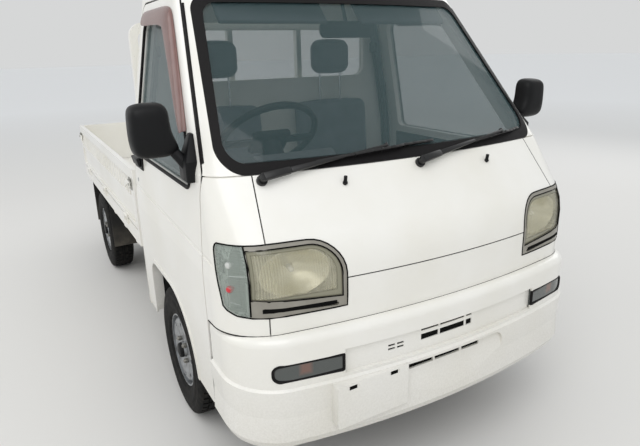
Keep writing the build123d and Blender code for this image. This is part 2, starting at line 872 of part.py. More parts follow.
with BuildPart() as band_back:
    add(layer(bumper_volume(bumper_sheet / 2), bumper_volume(band_depth + bumper_sheet)))
    extrude(band_strip(bumper_sheet), amount=far, mode=Mode.INTERSECT)
with BuildPart() as band_cut:
    add(layer(bumper_volume(-10.0), bumper_volume(band_depth)))
    extrude(band_strip(0.0), amount=far, mode=Mode.INTERSECT)
with BuildPart() as pan_back:
    add(pan_wedge(bumper_sheet, bumper_sheet))
    add(bumper_volume(1.0), mode=Mode.INTERSECT)
with BuildPart() as front_bumper:
    add(bumper_volume(0.0))
    extrude(bumper_side_view, amount=far, both=True, mode=Mode.INTERSECT)
    fillet(front_bumper.faces().sort_by(Axis.Z)[-1].edges().sort_by(Axis.X)[1:], bumper_top_radius)
    add(bumper_hollow.part, mode=Mode.SUBTRACT)
    add(cab_space, mode=Mode.SUBTRACT)
    add(nose_panel.part, mode=Mode.SUBTRACT)
    add(band_back.part)
    add(pan_back.part)
    add(band_cut.part, mode=Mode.SUBTRACT)
    add(pan_wedge(0.0, 0.0), mode=Mode.SUBTRACT)
    extrude(lamp_opening.sketch, amount=far, mode=Mode.SUBTRACT)
    extrude(lamp_opening.sketch.mirror(Plane.XZ), amount=far, mode=Mode.SUBTRACT)
    with BuildSketch(Plane.YZ.offset(nose_x + 4.0)):
        for slot_y, slot_z, slot_width, slot_height in air_slots:
            with Locations((slot_y, slot_z)):
                Rectangle(slot_width, slot_height)
    extrude(amount=far, mode=Mode.SUBTRACT)
    with BuildSketch(Plane.YZ.offset(plate_boss_x)):
        with Locations((plate_y, plate_z)):
            with GridLocations(plate_boss_pitch, 1.0, 2, 1):
                Circle(plate_boss_radius)
    extrude(amount=front_x - plate_sheet - plate_boss_x)
export(front_bumper.part, "front_bumper")

with BuildPart() as number_plate:
    with BuildSketch(Plane.YZ.offset(front_x - plate_sheet)):
        with Locations((plate_y, plate_z)):
            RectangleRounded(plate_width, plate_height, 8.0)
        with Locations((plate_y, plate_z + plate_height / 2 - plate_hole_drop)):
            with GridLocations(plate_hole_pitch, 1.0, 2, 1):
                SlotOverall(41.0, 14.0, mode=Mode.SUBTRACT)
    extrude(amount=plate_sheet)
export(number_plate.part, "number_plate")

with BuildPart() as bumper_lamp:
    add(bumper_volume(2.0))
    add(bumper_volume(30.0), mode=Mode.SUBTRACT)
    extrude(lamp_opening.sketch, amount=far, mode=Mode.INTERSECT)
export(mirrored(bumper_lamp.part), "bumper_lamps")

# Doors: an outer skin whose flange stands past the inner box, cut by the wheel arch and the window
with BuildPart() as door_skin:
    add(skin_shell)
    extrude(door_outline(0.0, door_bottom_z), amount=-far, mode=Mode.INTERSECT)
with BuildPart() as arch_rim:
    add(layer(cab_volume(-arch_lip), forms[skin]))
    extrude(arch_outline(arch_lip_width), amount=-far, mode=Mode.INTERSECT)
    extrude(door_outline(0.0, door_bottom_z), amount=-far, mode=Mode.INTERSECT)
with BuildPart() as door:
    add(lining_shell)
    extrude(door_outline(-door_flange, door_bottom_z + door_flange), amount=-far, mode=Mode.INTERSECT)
    add(door_skin.part)
    add(crease.part, mode=Mode.SUBTRACT)
    add(arch_rim.part)
    extrude(arch_outline(0.0), amount=-far, mode=Mode.SUBTRACT)
    extrude(window_outline, amount=-far, mode=Mode.SUBTRACT)

with BuildPart() as door_glass:
    add(door_glass_shell)
    extrude(window_outline, amount=-far, mode=Mode.INTERSECT)

# Outside mirror on a short arm at the foot of the door's window frame
with BuildPart() as mirror:
    with BuildSketch(Plane.YZ.offset(mirror_x)):
        with Locations((mirror_inner_y + mirror_width / 2, mirror_z)):
            RectangleRounded(mirror_width, mirror_height, 28.0)
    extrude(amount=mirror_depth / 2, both=True)
    fillet(mirror.faces().sort_by(Axis.X)[-1].edges(), 18.0)
    with BuildLine() as arm_path:
        Polyline(
            (mirror_x, mirror_inner_y + 30.0, mirror_z - mirror_height / 2 + 15.0),
            (mirror_foot_x, belt_half + 14.0, mirror_foot_z),
            (mirror_foot_x, belt_half - wall / 2, mirror_foot_z),
        )
    with BuildSketch(Plane(arm_path.line @ 0, z_dir=arm_path.line % 0)):
        Circle(mirror_arm_radius)
    sweep(transition=Transition.ROUND)
    add(door.part, mode=Mode.SUBTRACT)

for side_name, flip in (("left", False), ("right", True)):
    for label, piece in (("door", door), ("door_glass", door_glass), ("mirror", mirror)):
        export(piece.part.mirror(Plane.XZ) if flip else piece.part, f"{label}_{side_name}")

# Cab floor: seat deck, riser, footwell and toe board, with wheel houses and step boxes
floor_points = [
    (cab_back_x, deck_top_z - floor_sheet), (cab_back_x, deck_top_z), (riser_x, deck_top_z),
    (riser_x + 20.0, foot_z), (toe_x, foot_z), (front_x, foot_z + 150.0),
    (front_x, foot_z + 150.0 - floor_sheet), (toe_x + 8.0, foot_z - floor_sheet),
    (riser_x + 2.0, foot_z - floor_sheet), (riser_x - 18.0, deck_top_z - floor_sheet),
]
# Step boxes of one side: X from, X to, Y from, Y to, Z from, Z to
floor_boxes = (
    (cab_back_x + wall, front_axle_x - house_radius - 4.0, kingpin_y, floor_half, door_bottom_z, deck_top_z - 10.0),
    (front_axle_x + house_radius + 4.0, door_front_x, kingpin_y, floor_half, door_bottom_z, foot_z - 10.0),
)
kingpin_plane = Plane(
    origin=(front_axle_x, kingpin_y, arm_z),
    x_dir=(1, 0, 0),
    z_dir=(0, -sin(radians(kingpin_lean)), cos(radians(kingpin_lean))),
)
with BuildPart() as floor_side:
    for grow, mode in ((house_clear + floor_sheet, Mode.ADD), (house_clear, Mode.SUBTRACT)):
        extrude(
            arch_outline(grow).moved(Location((0, house_inner_y, 0))), amount=house_inner_y - floor_half, mode=mode
        )
    with Locations((front_axle_x, floor_half, door_bottom_z - far / 2)):
        Box(far, far, far, mode=Mode.SUBTRACT)
    for low_x, high_x, low_y, high_y, low_z, high_z in floor_boxes:
        with Locations(((low_x + high_x) / 2, (low_y + high_y) / 2, (low_z + high_z) / 2)):
            Box(high_x - low_x, high_y - low_y, high_z - low_z)
    with BuildSketch(kingpin_plane.offset(strut_length + running_gap)):
        Circle(strut_seat_radius)
    extrude(amount=strut_seat_length)
with BuildPart() as cab_floor:
    extrude(outline(Plane.XZ, floor_points), amount=floor_half, both=True)
    add(floor_side.part)
    add(floor_side.part.mirror(Plane.XZ))
    add(cab_space, mode=Mode.INTERSECT)
export(cab_floor.part, "cab_floor")

# Dashboard, shaped to the inside of the nose, with the instrument hood before the driver
dash_points = [
    (front_x, dash_top_z - 30.0), (1380.0, dash_top_z), (1235.0, dash_top_z), (1172.0, 1040.0),
    (1152.0, 940.0), (1200.0, 850.0), (1330.0, 780.0), (front_x, 780.0),
]
with BuildPart() as dashboard:
    extrude(outline(Plane.XZ, dash_points), amount=dash_half, both=True)
    with BuildSketch(Plane.XZ.offset(-steering_y)):
        with BuildLine():
            Polyline((1160.0, 1040.0), (1150.0, 1105.0), (1240.0, 1125.0), (1330.0, dash_top_z), (1300.0, 1000.0), close=True)
        make_face()
    extrude(amount=150.0, both=True)
    add(cab_space, mode=Mode.INTERSECT)
    add(cab_floor.part, mode=Mode.SUBTRACT)
    add(lamp_can.part, mode=Mode.SUBTRACT)
    add(lamp_can.part.mirror(Plane.XZ), mode=Mode.SUBTRACT)

# Steering column and wheel, both square to the tilted column line
column_plane = Plane(
    origin=(steering_x, steering_y, steering_z),
    x_dir=(0, 1, 0),
    z_dir=(-cos(radians(steering_tilt)), 0, sin(radians(steering_tilt))),
)
with BuildPart() as steering_column:
    with BuildSketch(column_plane.offset(-28.0 - running_gap)):
        Circle(34.0)
    extrude(amount=-260.0)
    add(dashboard.part, mode=Mode.SUBTRACT)
column_piece = steering_column.part.solids().sort_by(Axis.X)[0]
export(Part() + column_piece, "steering_column")
export(dashboard.part, "dashboard")

with BuildPart() as steering_wheel:
    with BuildSketch(Plane(origin=column_plane.origin, x_dir=column_plane.x_dir, z_dir=column_plane.y_dir)):
        with Locations((steering_wheel_radius, 0)):
            RegularPolygon(14.0, 8)
    revolve(axis=Axis(column_plane.origin, column_plane.z_dir))
    with BuildSketch(column_plane.offset(-28.0)):
        Circle(48.0)
    extrude(amount=34.0)
    with BuildSketch(column_plane.offset(-10.0)):
        with Locations((0, 0)):
            Rectangle(2 * steering_wheel_radius - 4.0, 34.0)
        with Locations((0, 0.5 - steering_wheel_radius / 2)):
            Rectangle(30.0, steering_wheel_radius - 4.0)
    extrude(amount=12.0)
export(steering_wheel.part, "steering_wheel")

# Seats: cushion, raked back and headrest on two stems
with BuildPart() as seat_cushions:
    for seat_y in seat_places:
        with BuildSketch(Plane.XY.offset(deck_top_z + running_gap)):
            with Locations((742.0, seat_y)):
                RectangleRounded(470.0, 2 * seat_half, 50.0)
        extrude(amount=115.0)
    fillet(seat_cushions.faces().filter_by(Axis.Z).group_by(Axis.Z)[-1].edges(), 35.0)
export(seat_cushions.part, "seat_cushions")

seat_low_z = deck_top_z + running_gap
back_points = [(410.0, seat_low_z), (482.0, seat_low_z), (500.0, 905.0), (452.0, 1330.0), (380.0, 1330.0), (380.0, 1150.0)]
with BuildPart() as seat_backs:
    for seat_y in seat_places:
        extrude(outline(Plane.XZ.offset(-seat_y), back_points, 8.0), amount=seat_half - 10.0, both=True)
        with Locations((416.0, seat_y, 1345.0)):
            with GridLocations(1.0, 110.0, 1, 2):
                Cylinder(6.0, 60.0)
        with BuildSketch(Plane.YZ.offset(380.0)):
            with Locations((seat_y, 1428.0)):
                RectangleRounded(210.0, 145.0, 45.0)
        extrude(amount=75.0)
export(seat_backs.part, "seat_backs")

# Gear lever on the footwell floor beside the driver
with BuildPart() as gear_lever:
    with BuildSketch(Plane.XY.offset(foot_z)):
        with Locations((1045.0, lever_y)):
            Circle(40.0)
    extrude(amount=60.0, taper=25.0)
    with BuildLine() as lever_path:
        Line((1045.0, lever_y, foot_z + 40.0), (1010.0, lever_y, 930.0))
    with BuildSketch(Plane(lever_path.line @ 0, z_dir=lever_path.line % 0)):
        Circle(7.0)
    sweep()
    with Locations((1010.0, lever_y, 940.0)):
        Sphere(22.0)
export(gear_lever.part, "gear_lever")

# Inside mirror hanging from the windscreen header
with BuildPart() as room_mirror:
    with BuildSketch(Plane.YZ.offset(room_mirror_x)):
        with Locations((room_mirror_y, room_mirror_z)):
            RectangleRounded(240.0, 62.0, 24.0)
    extrude(amount=16.0)
    with BuildLine() as mirror_stem:
        Line(
            (room_mirror_x + 8.0, room_mirror_y, room_mirror_z),
            (room_mirror_x - 80.0, room_mirror_y, cab_height),
        )
    with BuildSketch(Plane(mirror_stem.line @ 0, z_dir=mirror_stem.line % 0)):
        Circle(7.0)
    sweep()
    add(cab_space, mode=Mode.INTERSECT)
export(room_mirror.part, "room_mirror")

# Wipers and washer nozzles; both blades sweep from pivots below the glass
def screen_point(y, z, out):
    """A point standing off the windscreen side of the cab, square to the raked surface."""
    front, crown, _, _ = cab_level(z)
    x = front - y**2 / (2 * crown)
    length = hypot(1, screen_rake)
    return Vector(x + out / length, y, z + out * screen_rake / length)


# Pivot Y, holder Y, holder Z, blade start Y, blade start Z, blade end Y, blade end Z
wiper_table = (
    (-562.0, -215.0, 1216.0, -430.0, 1168.0, 20.0, 1262.0),
    (0.0, 330.0, 1208.0, 110.0, 1150.0, 520.0, 1262.0),
)
wiper_normal = Vector(1, 0, screen_rake).normalized()
with BuildPart() as wipers:
    for pivot_y, hold_y, hold_z, start_y, start_z, end_y, end_z in wiper_table:
        pivot = screen_point(pivot_y, belt_z - 14.0, 0.0)
        with BuildSketch(Plane(origin=pivot - wiper_normal * 4.0, z_dir=wiper_normal)):
            Circle(11.0)
        extrude(amount=26.0)
        middle = screen_point((start_y + end_y) / 2, (start_z + end_z) / 2, 9.0)
        with BuildLine() as arm:
            Line(pivot + wiper_normal * 16.0, screen_point(hold_y, hold_z, 20.0))
        with BuildSketch(Plane(arm.line @ 0, z_dir=arm.line % 0)):
            Circle(5.5)
        sweep()
        with BuildLine() as blade:
            ThreePointArc(screen_point(start_y, start_z, 9.0), middle, screen_point(end_y, end_z, 9.0))
        with BuildSketch(Plane(blade.line @ 0, z_dir=blade.line % 0)):
            Circle(6.0)
        sweep()
        with BuildLine() as joint:
            Line(screen_point(hold_y, hold_z, 22.0), screen_point(hold_y, hold_z, 6.0))
        with BuildSketch(Plane(joint.line @ 0, z_dir=joint.line % 0)):
            Circle(6.0)
        sweep()
    for nozzle_y in (-294.0, 294.0):
        with BuildSketch(Plane(origin=screen_point(nozzle_y, nozzle_z, 0.0) - wiper_normal * 4.0, z_dir=wiper_normal)):
            Circle(8.0)
        extrude(amount=22.0)
    add(front_panel.part, mode=Mode.SUBTRACT)
    add(windscreen_seal.part, mode=Mode.SUBTRACT)
export(wipers.part, "wipers")

# Ladder frame: two stepped rails with cross members and cab posts
rail_points = [
    (rail_rear_x, rear_rail_z), (440.0, rear_rail_z), (560.0, front_rail_z), (rail_front_x, front_rail_z),
    (rail_front_x, front_rail_z + rail_height), (580.0, front_rail_z + rail_height),
    (460.0, rear_rail_z + rail_height), (rail_rear_x, rear_rail_z + rail_height),
]
# Cross members: X, low Z
cross_members = (
    (-1570.0, rear_rail_z), (-1300.0, rear_rail_z), (-700.0, rear_rail_z), (-50.0, rear_rail_z),
    (1240.0, front_rail_z), (1530.0, front_rail_z),
)
with BuildPart() as frame_rails:
    extrude(outline(Plane.XZ, rail_points), amount=rail_y + rail_width / 2, both=True)
    extrude(outline(Plane.XZ, rail_points), amount=rail_y - rail_width / 2, both=True, mode=Mode.SUBTRACT)
    for member_x, member_z in cross_members:
        with Locations((member_x, 0, member_z + rail_height / 2)):
            Box(rail_width, 2 * rail_y, rail_height - 20.0)
    for side in (-1, 1):
        with Locations((430.0, side * rail_y, (rear_rail_z + rail_height + deck_top_z - floor_sheet) / 2)):
            Box(50.0, 50.0, deck_top_z - floor_sheet - rear_rail_z - rail_height)
        with Locations((1240.0, side * rail_y, (front_rail_z + rail_height + foot_z - floor_sheet) / 2)):
            Box(50.0, 50.0, foot_z - floor_sheet - front_rail_z - rail_height)
        for hanger_x in (rear_axle_x - leaf_reach, rear_axle_x + leaf_reach):
            with Locations((hanger_x, side * rail_y, (rear_rail_z + leaf_end_z + eye_radius) / 2)):
                Box(40.0, leaf_width, rear_rail_z - leaf_end_z - eye_radius)
    with Locations((-1435.0, 0, rear_rail_z + 16.0)):
        Box(270.0, 60.0, 12.0)
    with BuildSketch(Plane.XY.offset(spare_z - 2.0 + running_gap)):
        with Locations((spare_x, 0)):
            Circle(40.0)
    extrude(amount=rear_rail_z + 16.0 - spare_z)
export(frame_rails.part, "frame_rails")

# Leaf springs over the rear axle, with an eye at each end
with BuildPart() as leaf_spring:
    with BuildSketch(Plane.XZ.offset(-rail_y)):
        with BuildLine():
            ThreePointArc(
                (rear_axle_x - leaf_reach, leaf_end_z - leaf_thickness / 2),
                (rear_axle_x, leaf_low_z),
                (rear_axle_x + leaf_reach, leaf_end_z - leaf_thickness / 2),
            )
            Line(
                (rear_axle_x + leaf_reach, leaf_end_z - leaf_thickness / 2),
                (rear_axle_x + leaf_reach, leaf_end_z + leaf_thickness / 2),
            )
            ThreePointArc(
                (rear_axle_x + leaf_reach, leaf_end_z + leaf_thickness / 2),
                (rear_axle_x, leaf_low_z + leaf_thickness),
                (rear_axle_x - leaf_reach, leaf_end_z + leaf_thickness / 2),
            )
            Line(
                (rear_axle_x - leaf_reach, leaf_end_z + leaf_thickness / 2),
                (rear_axle_x - leaf_reach, leaf_end_z - leaf_thickness / 2),
            )
        make_face()
        with Locations((rear_axle_x - leaf_reach, leaf_end_z), (rear_axle_x + leaf_reach, leaf_end_z)):
            Circle(eye_radius)
    extrude(amount=leaf_width / 2, both=True)
export(mirrored(leaf_spring.part), "leaf_springs")

# Rear axle: tube, differential housing, spring seats, brake back plates and wheel spindles
axle_line = Plane(origin=(rear_axle_x, 0, wheel_z), x_dir=(1, 0, 0), z_dir=(0, 1, 0))
with BuildPart() as rear_axle:
    with BuildSketch(axle_line):
        Circle(axle_tube_radius)
    extrude(amount=back_plate_y, both=True)
    with Locations((rear_axle_x, 0, wheel_z)):
        Sphere(differential_radius)
    with BuildSketch(axle_line):
        Circle(spindle_radius)
    extrude(amount=spindle_end_y, both=True)
    for side in (-1, 1):
        with BuildSketch(axle_line.offset(side * back_plate_y)):
            Circle(back_plate_radius)
        extrude(amount=side * back_plate_sheet)
        with Locations((rear_axle_x, side * rail_y, (wheel_z + leaf_low_z) / 2)):
            Box(110.0, leaf_width + 10.0, leaf_low_z - wheel_z)
    add(leaf_spring.part, mode=Mode.SUBTRACT)
    add(leaf_spring.part.mirror(Plane.XZ), mode=Mode.SUBTRACT)
export(rear_axle.part, "rear_axle")

# Engine block under the seats, gearbox behind it and the shaft back to the axle
with BuildPart() as engine_block:
    with BuildSketch(Plane.XY.offset(front_rail_z)):
        with Locations(((engine_front_x + engine_rear_x) / 2, 0)):
            Rectangle(engine_front_x - engine_rear_x, 2 * engine_half)
    extrude(amount=engine_top_z - front_rail_z)
    chamfer(engine_block.edges().filter_by(Axis.Z), 40.0)
export(engine_block.part, "engine_block")

with BuildPart() as gearbox_block:
    with BuildSketch(Plane.YZ.offset(engine_rear_x)) as gearbox_mouth:
        with Locations((0, shaft_front_z)):
            Rectangle(260.0, 220.0)
        chamfer(gearbox_mouth.vertices(), 45.0)
    with BuildSketch(Plane.YZ.offset(gearbox_rear_x)) as gearbox_end:
        with Locations((0, shaft_front_z)):
            Rectangle(120.0, 120.0)
        chamfer(gearbox_end.vertices(), 35.0)
    loft(ruled=True)
export(gearbox_block.part, "gearbox_block")

with BuildPart() as propeller_shaft:
    with BuildLine() as shaft_line:
        Line((gearbox_rear_x + 30.0, 0, shaft_front_z), (rear_axle_x, 0, wheel_z))
    with BuildSketch(Plane(shaft_line.line @ 0, z_dir=shaft_line.line % 0)):
        Circle(shaft_radius)
    sweep()
    add(gearbox_block.part, mode=Mode.SUBTRACT)
    add(rear_axle.part, mode=Mode.SUBTRACT)
export(propeller_shaft.part, "propeller_shaft")

# Exhaust: front pipe, silencer and tail pipe past the rear axle
with BuildPart() as exhaust:
    with BuildLine() as front_pipe:
        Polyline(
            (engine_rear_x + 60.0, -engine_half + 60.0, front_rail_z - pipe_radius),
            (200.0, exhaust_y, front_rail_z - pipe_radius),
            (silencer_front_x, exhaust_y, silencer_z),
        )
    with BuildSketch(Plane(front_pipe.line @ 0, z_dir=front_pipe.line % 0)):
        Circle(pipe_radius)
    sweep(transition=Transition.ROUND)
    with BuildSketch(Plane.YZ.offset(silencer_rear_x)):
        with Locations((exhaust_y, silencer_z)):
            Ellipse(90.0, 65.0)
    extrude(amount=silencer_front_x - silencer_rear_x)
    with BuildLine() as tail_pipe:
        Polyline(
            (silencer_rear_x, exhaust_y, silencer_z), (silencer_rear_x - 60.0, exhaust_y, silencer_z),
            (rear_axle_x + 130.0, tail_y, tail_z), (rear_x + 60.0, tail_y, tail_z),
        )
    with BuildSketch(Plane(tail_pipe.line @ 0, z_dir=tail_pipe.line % 0)):
        Circle(pipe_radius)
    sweep(transition=Transition.ROUND)
    with Locations((silencer_rear_x - 50.0, exhaust_y, (silencer_z + rear_rail_z + 10.0) / 2)):
        Box(20.0, 8.0, rear_rail_z + 10.0 - silencer_z)
export(exhaust.part, "exhaust")

# Fuel tank outside the left rail
with BuildPart() as fuel_tank:
    with BuildSketch(Plane.XZ.offset(-rail_y - rail_width / 2)):
        with Locations((tank_x, tank_z)):
            RectangleRounded(tank_length, tank_height, 40.0)
    extrude(amount=-tank_depth)
    fillet(fuel_tank.faces().sort_by(Axis.Y)[-1].edges(), 20.0)
export(fuel_tank.part, "fuel_tank")

# Front suspension carrier: beam under the engine with a lower arm to each ball joint
with BuildPart() as front_crossmember:
    with Locations((front_axle_x, 0, front_rail_z - 40.0)):
        Box(90.0, 2 * rail_y + rail_width, 80.0)
    with BuildSketch(Plane.XY.offset(arm_z - arm_sheet)) as arm_sketch:
        for side in (-1, 1):
            with BuildLine():
                Polyline(
                    (front_axle_x - 150.0, side * (rail_y - 25.0)), (front_axle_x + 150.0, side * (rail_y - 25.0)),
                    (front_axle_x + 30.0, side * kingpin_y), (front_axle_x - 30.0, side * kingpin_y), close=True,
                )
            make_face()
            with Locations((front_axle_x, side * kingpin_y)):
                Circle(strut_radius)
    extrude(amount=arm_sheet)
    with BuildSketch(Plane.XY.offset(arm_z)):
        with Locations((front_axle_x, rail_y - 10.0), (front_axle_x, 10.0 - rail_y)):
            Rectangle(80.0, 40.0)
    extrude(amount=front_rail_z - 80.0 - arm_z)
export(front_crossmember.part, "front_crossmember")

# Steered knuckle on the leaning kingpin line: strut, hub carrier, spindle, back plate and steering arm
spindle_plane = Plane(origin=(front_axle_x, 0, wheel_z), x_dir=(1, 0, 0), z_dir=(0, 1, 0))
with BuildPart() as knuckle:
    with BuildSketch(kingpin_plane.offset(strut_foot)):
        Circle(strut_radius)
    extrude(amount=strut_length - strut_foot)
    with BuildSketch(kingpin_plane.offset(strut_length - 150.0)):
        Circle(strut_radius + 8.0)
    extrude(amount=5.0)
    with BuildSketch(spindle_plane.offset(kingpin_y - 45.0)):
        RectangleRounded(76.0, 110.0, 20.0)
    extrude(amount=60.0)
    with BuildSketch(spindle_plane.offset(kingpin_y)):
        Circle(spindle_radius)
    extrude(amount=spindle_end_y - kingpin_y)
    with BuildSketch(spindle_plane.offset(kingpin_y + 32.0)):
        Circle(back_plate_radius)
    extrude(amount=6.0)
    with BuildSketch(spindle_plane.offset(kingpin_y)):
        Circle(34.0)
    extrude(amount=34.0)
    with BuildSketch(Plane.XY.offset(wheel_z - 48.0)):
        with BuildLine():
            Polyline(
                (front_axle_x - 20.0, kingpin_y + 10.0), (front_axle_x - 20.0, kingpin_y - 30.0),
                (front_axle_x - 128.0, kingpin_y - 40.0), (front_axle_x - 128.0, kingpin_y - 16.0), close=True,
            )
        make_face()
    extrude(amount=16.0)
export(knuckle.part, "knuckle_left")
export(knuckle.part.mirror(Plane.XZ), "knuckle_right")

# Wheels: tyre and steel rim with vent holes and four bolt holes
wheel_places = (
    ("front_left", front_axle_x, half_track), ("front_right", front_axle_x, -half_track),
    ("rear_left", rear_axle_x, half_track), ("rear_right", rear_axle_x, -half_track),
)
for place, x, y in wheel_places:
    axle = Axis((x, y, wheel_z), (0, 1, 0))
    with BuildPart() as tyre:
        with BuildSketch(wheel_plane(x, y)):
            with BuildLine():
                Polyline(*tyre_points(rim_radius), close=True)
            make_face()
        revolve(axis=axle)
    export(tyre.part, f"tyre_{place}")
    with BuildPart() as rim:
        add(rim_section(x, y))
        revolve(axis=axle)
        with BuildSketch(Plane(origin=(x, y, wheel_z), x_dir=(1, 0, 0), z_dir=(0, 1, 0))):
            with PolarLocations(vent_circle, vent_count):
                Circle(vent_radius)
            with PolarLocations(wheel_bolt_circle, 4, start_angle=45.0):
                Circle(wheel_bolt_radius)
        extrude(amount=far if y > 0 else -far, mode=Mode.SUBTRACT)
    export(rim.part, f"rim_{place}")

# Spare wheel lying flat under the rear of the frame
with BuildPart() as spare_wheel:
    spare_axis = Axis((spare_x, 0, spare_z), (0, 0, 1))
    with BuildSketch(Plane(origin=(spare_x, 0, spare_z), x_dir=(1, 0, 0), z_dir=(0, -1, 0))):
        with BuildLine():
            Polyline(*tyre_points(spare_hole), close=True)
        make_face()
    revolve(axis=spare_axis)
    with BuildSketch(Plane.XY.offset(spare_z - 10.0)):
        with Locations((spare_x, 0)):
            Circle(spare_hole + 10.0)
            Circle(30.0, mode=Mode.SUBTRACT)
    extrude(amount=8.0)
export(spare_wheel.part, "spare_wheel")

# Hinge barrels along the gates' lower edges, with a sill lug at both ends of each barrel
side_barrels = (-700.0, 0.0, 700.0)
tailgate_barrels = (-450.0, 450.0)
side_gate_length = board_rear_x - gate_clear - tailgate_face_x
side_gate_x = (board_rear_x - gate_clear + tailgate_face_x) / 2
tailgate_length = 2 * (side_face_y - gate_thickness - gate_clear)


def lug_places(barrel_places):
    """The middles of the sill lugs, one past each end of every barrel."""
    step = (barrel_length + lug_width) / 2 + running_gap
    return [place + side * step for place in barrel_places for side in (-1, 1)]


def hinge_lug(side, face):
    """A sill lug in section, standing out from the sill's face to the hinge line."""
    reach = hinge_out + hinge_radius
    root = face - 2.0
    points = [
        (root, hinge_z - 45.0), (face + reach - 4.0, hinge_z - 38.0), (face + reach, hinge_z),
        (face + hinge_out - hinge_radius, hinge_z), (face + hinge_out - hinge_radius, gate_low_z - gate_clear),
        (root, gate_low_z - gate_clear),
    ]
    with BuildSketch() as lug:
        with BuildLine():
            Polyline(*[(side * out, z) for out, z in points], close=True)
        make_face()
        with Locations((side * (face + hinge_out), hinge_z)):
            Circle(hinge_radius)
    return lug.sketch


# Bed floor: ribbed deck, side and rear sills, cross beams and the fixed headboard
with BuildPart() as bed_floor:
    with BuildSketch(Plane.XY.offset(deck_z - deck_sheet)):
        with Locations(((tailgate_face_x + gate_thickness + gate_clear + board_front_x) / 2, 0)):
            Rectangle(
                board_front_x - tailgate_face_x - gate_thickness - gate_clear,
                2 * (side_face_y - gate_thickness - gate_clear),
            )
    extrude(amount=deck_sheet)
    with BuildSketch(Plane.XY.offset(bed_low_z)):
        with Locations(((tailgate_face_x + board_front_x) / 2, 0)):
            Rectangle(board_front_x - tailgate_face_x, 2 * side_face_y)
            Rectangle(board_front_x - tailgate_face_x - 2 * sill_width, 2 * (side_face_y - sill_width), mode=Mode.SUBTRACT)
        for beam_x in bed_beams:
            with Locations((beam_x, 0)):
                Rectangle(60.0, 2 * side_face_y)
    extrude(amount=gate_low_z - gate_clear - bed_low_z)
    with BuildSketch(Plane.XY.offset(rear_rail_z + rail_height)):
        with Locations(((rail_rear_x + board_rear_x) / 2, 0)):
            with GridLocations(1.0, 2 * rail_y, 1, 2):
                Rectangle(board_rear_x - rail_rear_x, rail_width)
    extrude(amount=bed_low_z - rear_rail_z - rail_height)
    with BuildSketch(Plane.YZ.offset(board_rear_x)):
        with Locations((0, (bed_low_z + gate_top_z) / 2)):
            Rectangle(2 * side_face_y, gate_top_z - bed_low_z)
    extrude(amount=board_sheet)
    for rib_y in range(-3, 4):
        with BuildSketch(Plane.YZ.offset(board_front_x)):
            with Locations((rib_y * 180.0, (deck_z + gate_top_z) / 2)):
                Rectangle(40.0, gate_top_z - deck_z - 60.0)
        extrude(amount=6.0)
    for lug_x in lug_places(side_barrels):
        for side in (-1, 1):
            with BuildSketch(Plane.YZ.offset(side_gate_x + lug_x - lug_width / 2)):
                add(hinge_lug(side, side_face_y))
            extrude(amount=lug_width)
    for lug_y in lug_places(tailgate_barrels):
        with BuildSketch(Plane.XZ.offset(lug_y - lug_width / 2)):
            add(hinge_lug(-1, -tailgate_face_x))
        extrude(amount=lug_width)
export(bed_floor.part, "bed_floor")

# Guard frame behind the cab: hoop, two bars before the rear window and rope hooks
with BuildPart() as guard_frame:
    with BuildSketch(Plane.YZ.offset(board_rear_x - guard_bar)):
        with Locations((0, (guard_low_z + guard_top_z) / 2)):
            RectangleRounded(2 * guard_y + guard_bar, guard_top_z - guard_low_z, 60.0)
            RectangleRounded(
                2 * guard_y - guard_bar, guard_top_z - guard_low_z - 2 * guard_bar, 40.0, mode=Mode.SUBTRACT,
            )
        with Locations((0, rear_window_low_z - 45.0)):
            Rectangle(2 * guard_y, guard_bar)
        with Locations((0, (rear_window_low_z + guard_top_z) / 2 - 30.0)):
            with GridLocations(2 * guard_bar_y, 1.0, 2, 1):
                Rectangle(26.0, guard_top_z - rear_window_low_z)
    extrude(amount=guard_bar)
    add(bed_floor.part, mode=Mode.SUBTRACT)
export(guard_frame.part, "guard_frame")

# Gates: top rail, ribbed panel and hinge barrels along the lower edge
def gate_part(length, barrel_places):
    """A gate standing on the XY plane's X axis: outer face toward -Y, centred, low edge at Z zero."""
    with BuildPart() as gate:
        with Locations((0, gate_thickness / 2, gate_height / 2)):
            Box(length, gate_thickness, gate_height)
        with BuildSketch(Plane.XZ):
            with Locations((0, gate_height - 52.0 - rib_band / 2)):
                with GridLocations(rib_pitch, 1.0, int((length - 80.0) / rib_pitch), 1):
                    Rectangle(rib_pitch - rib_width, rib_band)
            with Locations((0, 22.0 + (gate_height - 96.0 - rib_band) / 2)):
                Rectangle(length - 60.0, gate_height - 96.0 - rib_band)
        extrude(amount=-rib_depth, mode=Mode.SUBTRACT)
        for barrel_x in barrel_places:
            with BuildSketch(Plane.YZ.offset(barrel_x - barrel_length / 2)):
                with Locations((-hinge_out, hinge_z - gate_low_z)):
                    Circle(hinge_radius)
                with Locations((-hinge_out / 2 + 1.0, hinge_z - gate_low_z + 4.0)):
                    Rectangle(hinge_out + 2.0, 9.0)
            extrude(amount=barrel_length)
    return gate.part


side_gate = gate_part(side_gate_length, side_barrels)
left_gate = Location((side_gate_x, side_face_y, gate_low_z), (0, 0, 180)) * side_gate
export(left_gate, "gate_left")
export(left_gate.mirror(Plane.XZ), "gate_right")
tailgate = Location((tailgate_face_x, 0, gate_low_z), (0, 0, -90)) * gate_part(tailgate_length, tailgate_barrels)
export(tailgate, "tailgate")

# Rear lamps, rear bumper and mudguards under the bed
with BuildPart() as rear_lamps:
    with Locations((tailgate_face_x + 4.0 + lamp_depth / 2, 0, bed_low_z - lamp_height / 2)):
        with GridLocations(1.0, 2 * rear_lamp_y, 1, 2):
            Box(lamp_depth, lamp_width, lamp_height)
    fillet(rear_lamps.edges().filter_by(Axis.X), 12.0)
export(rear_lamps.part, "rear_lamps")

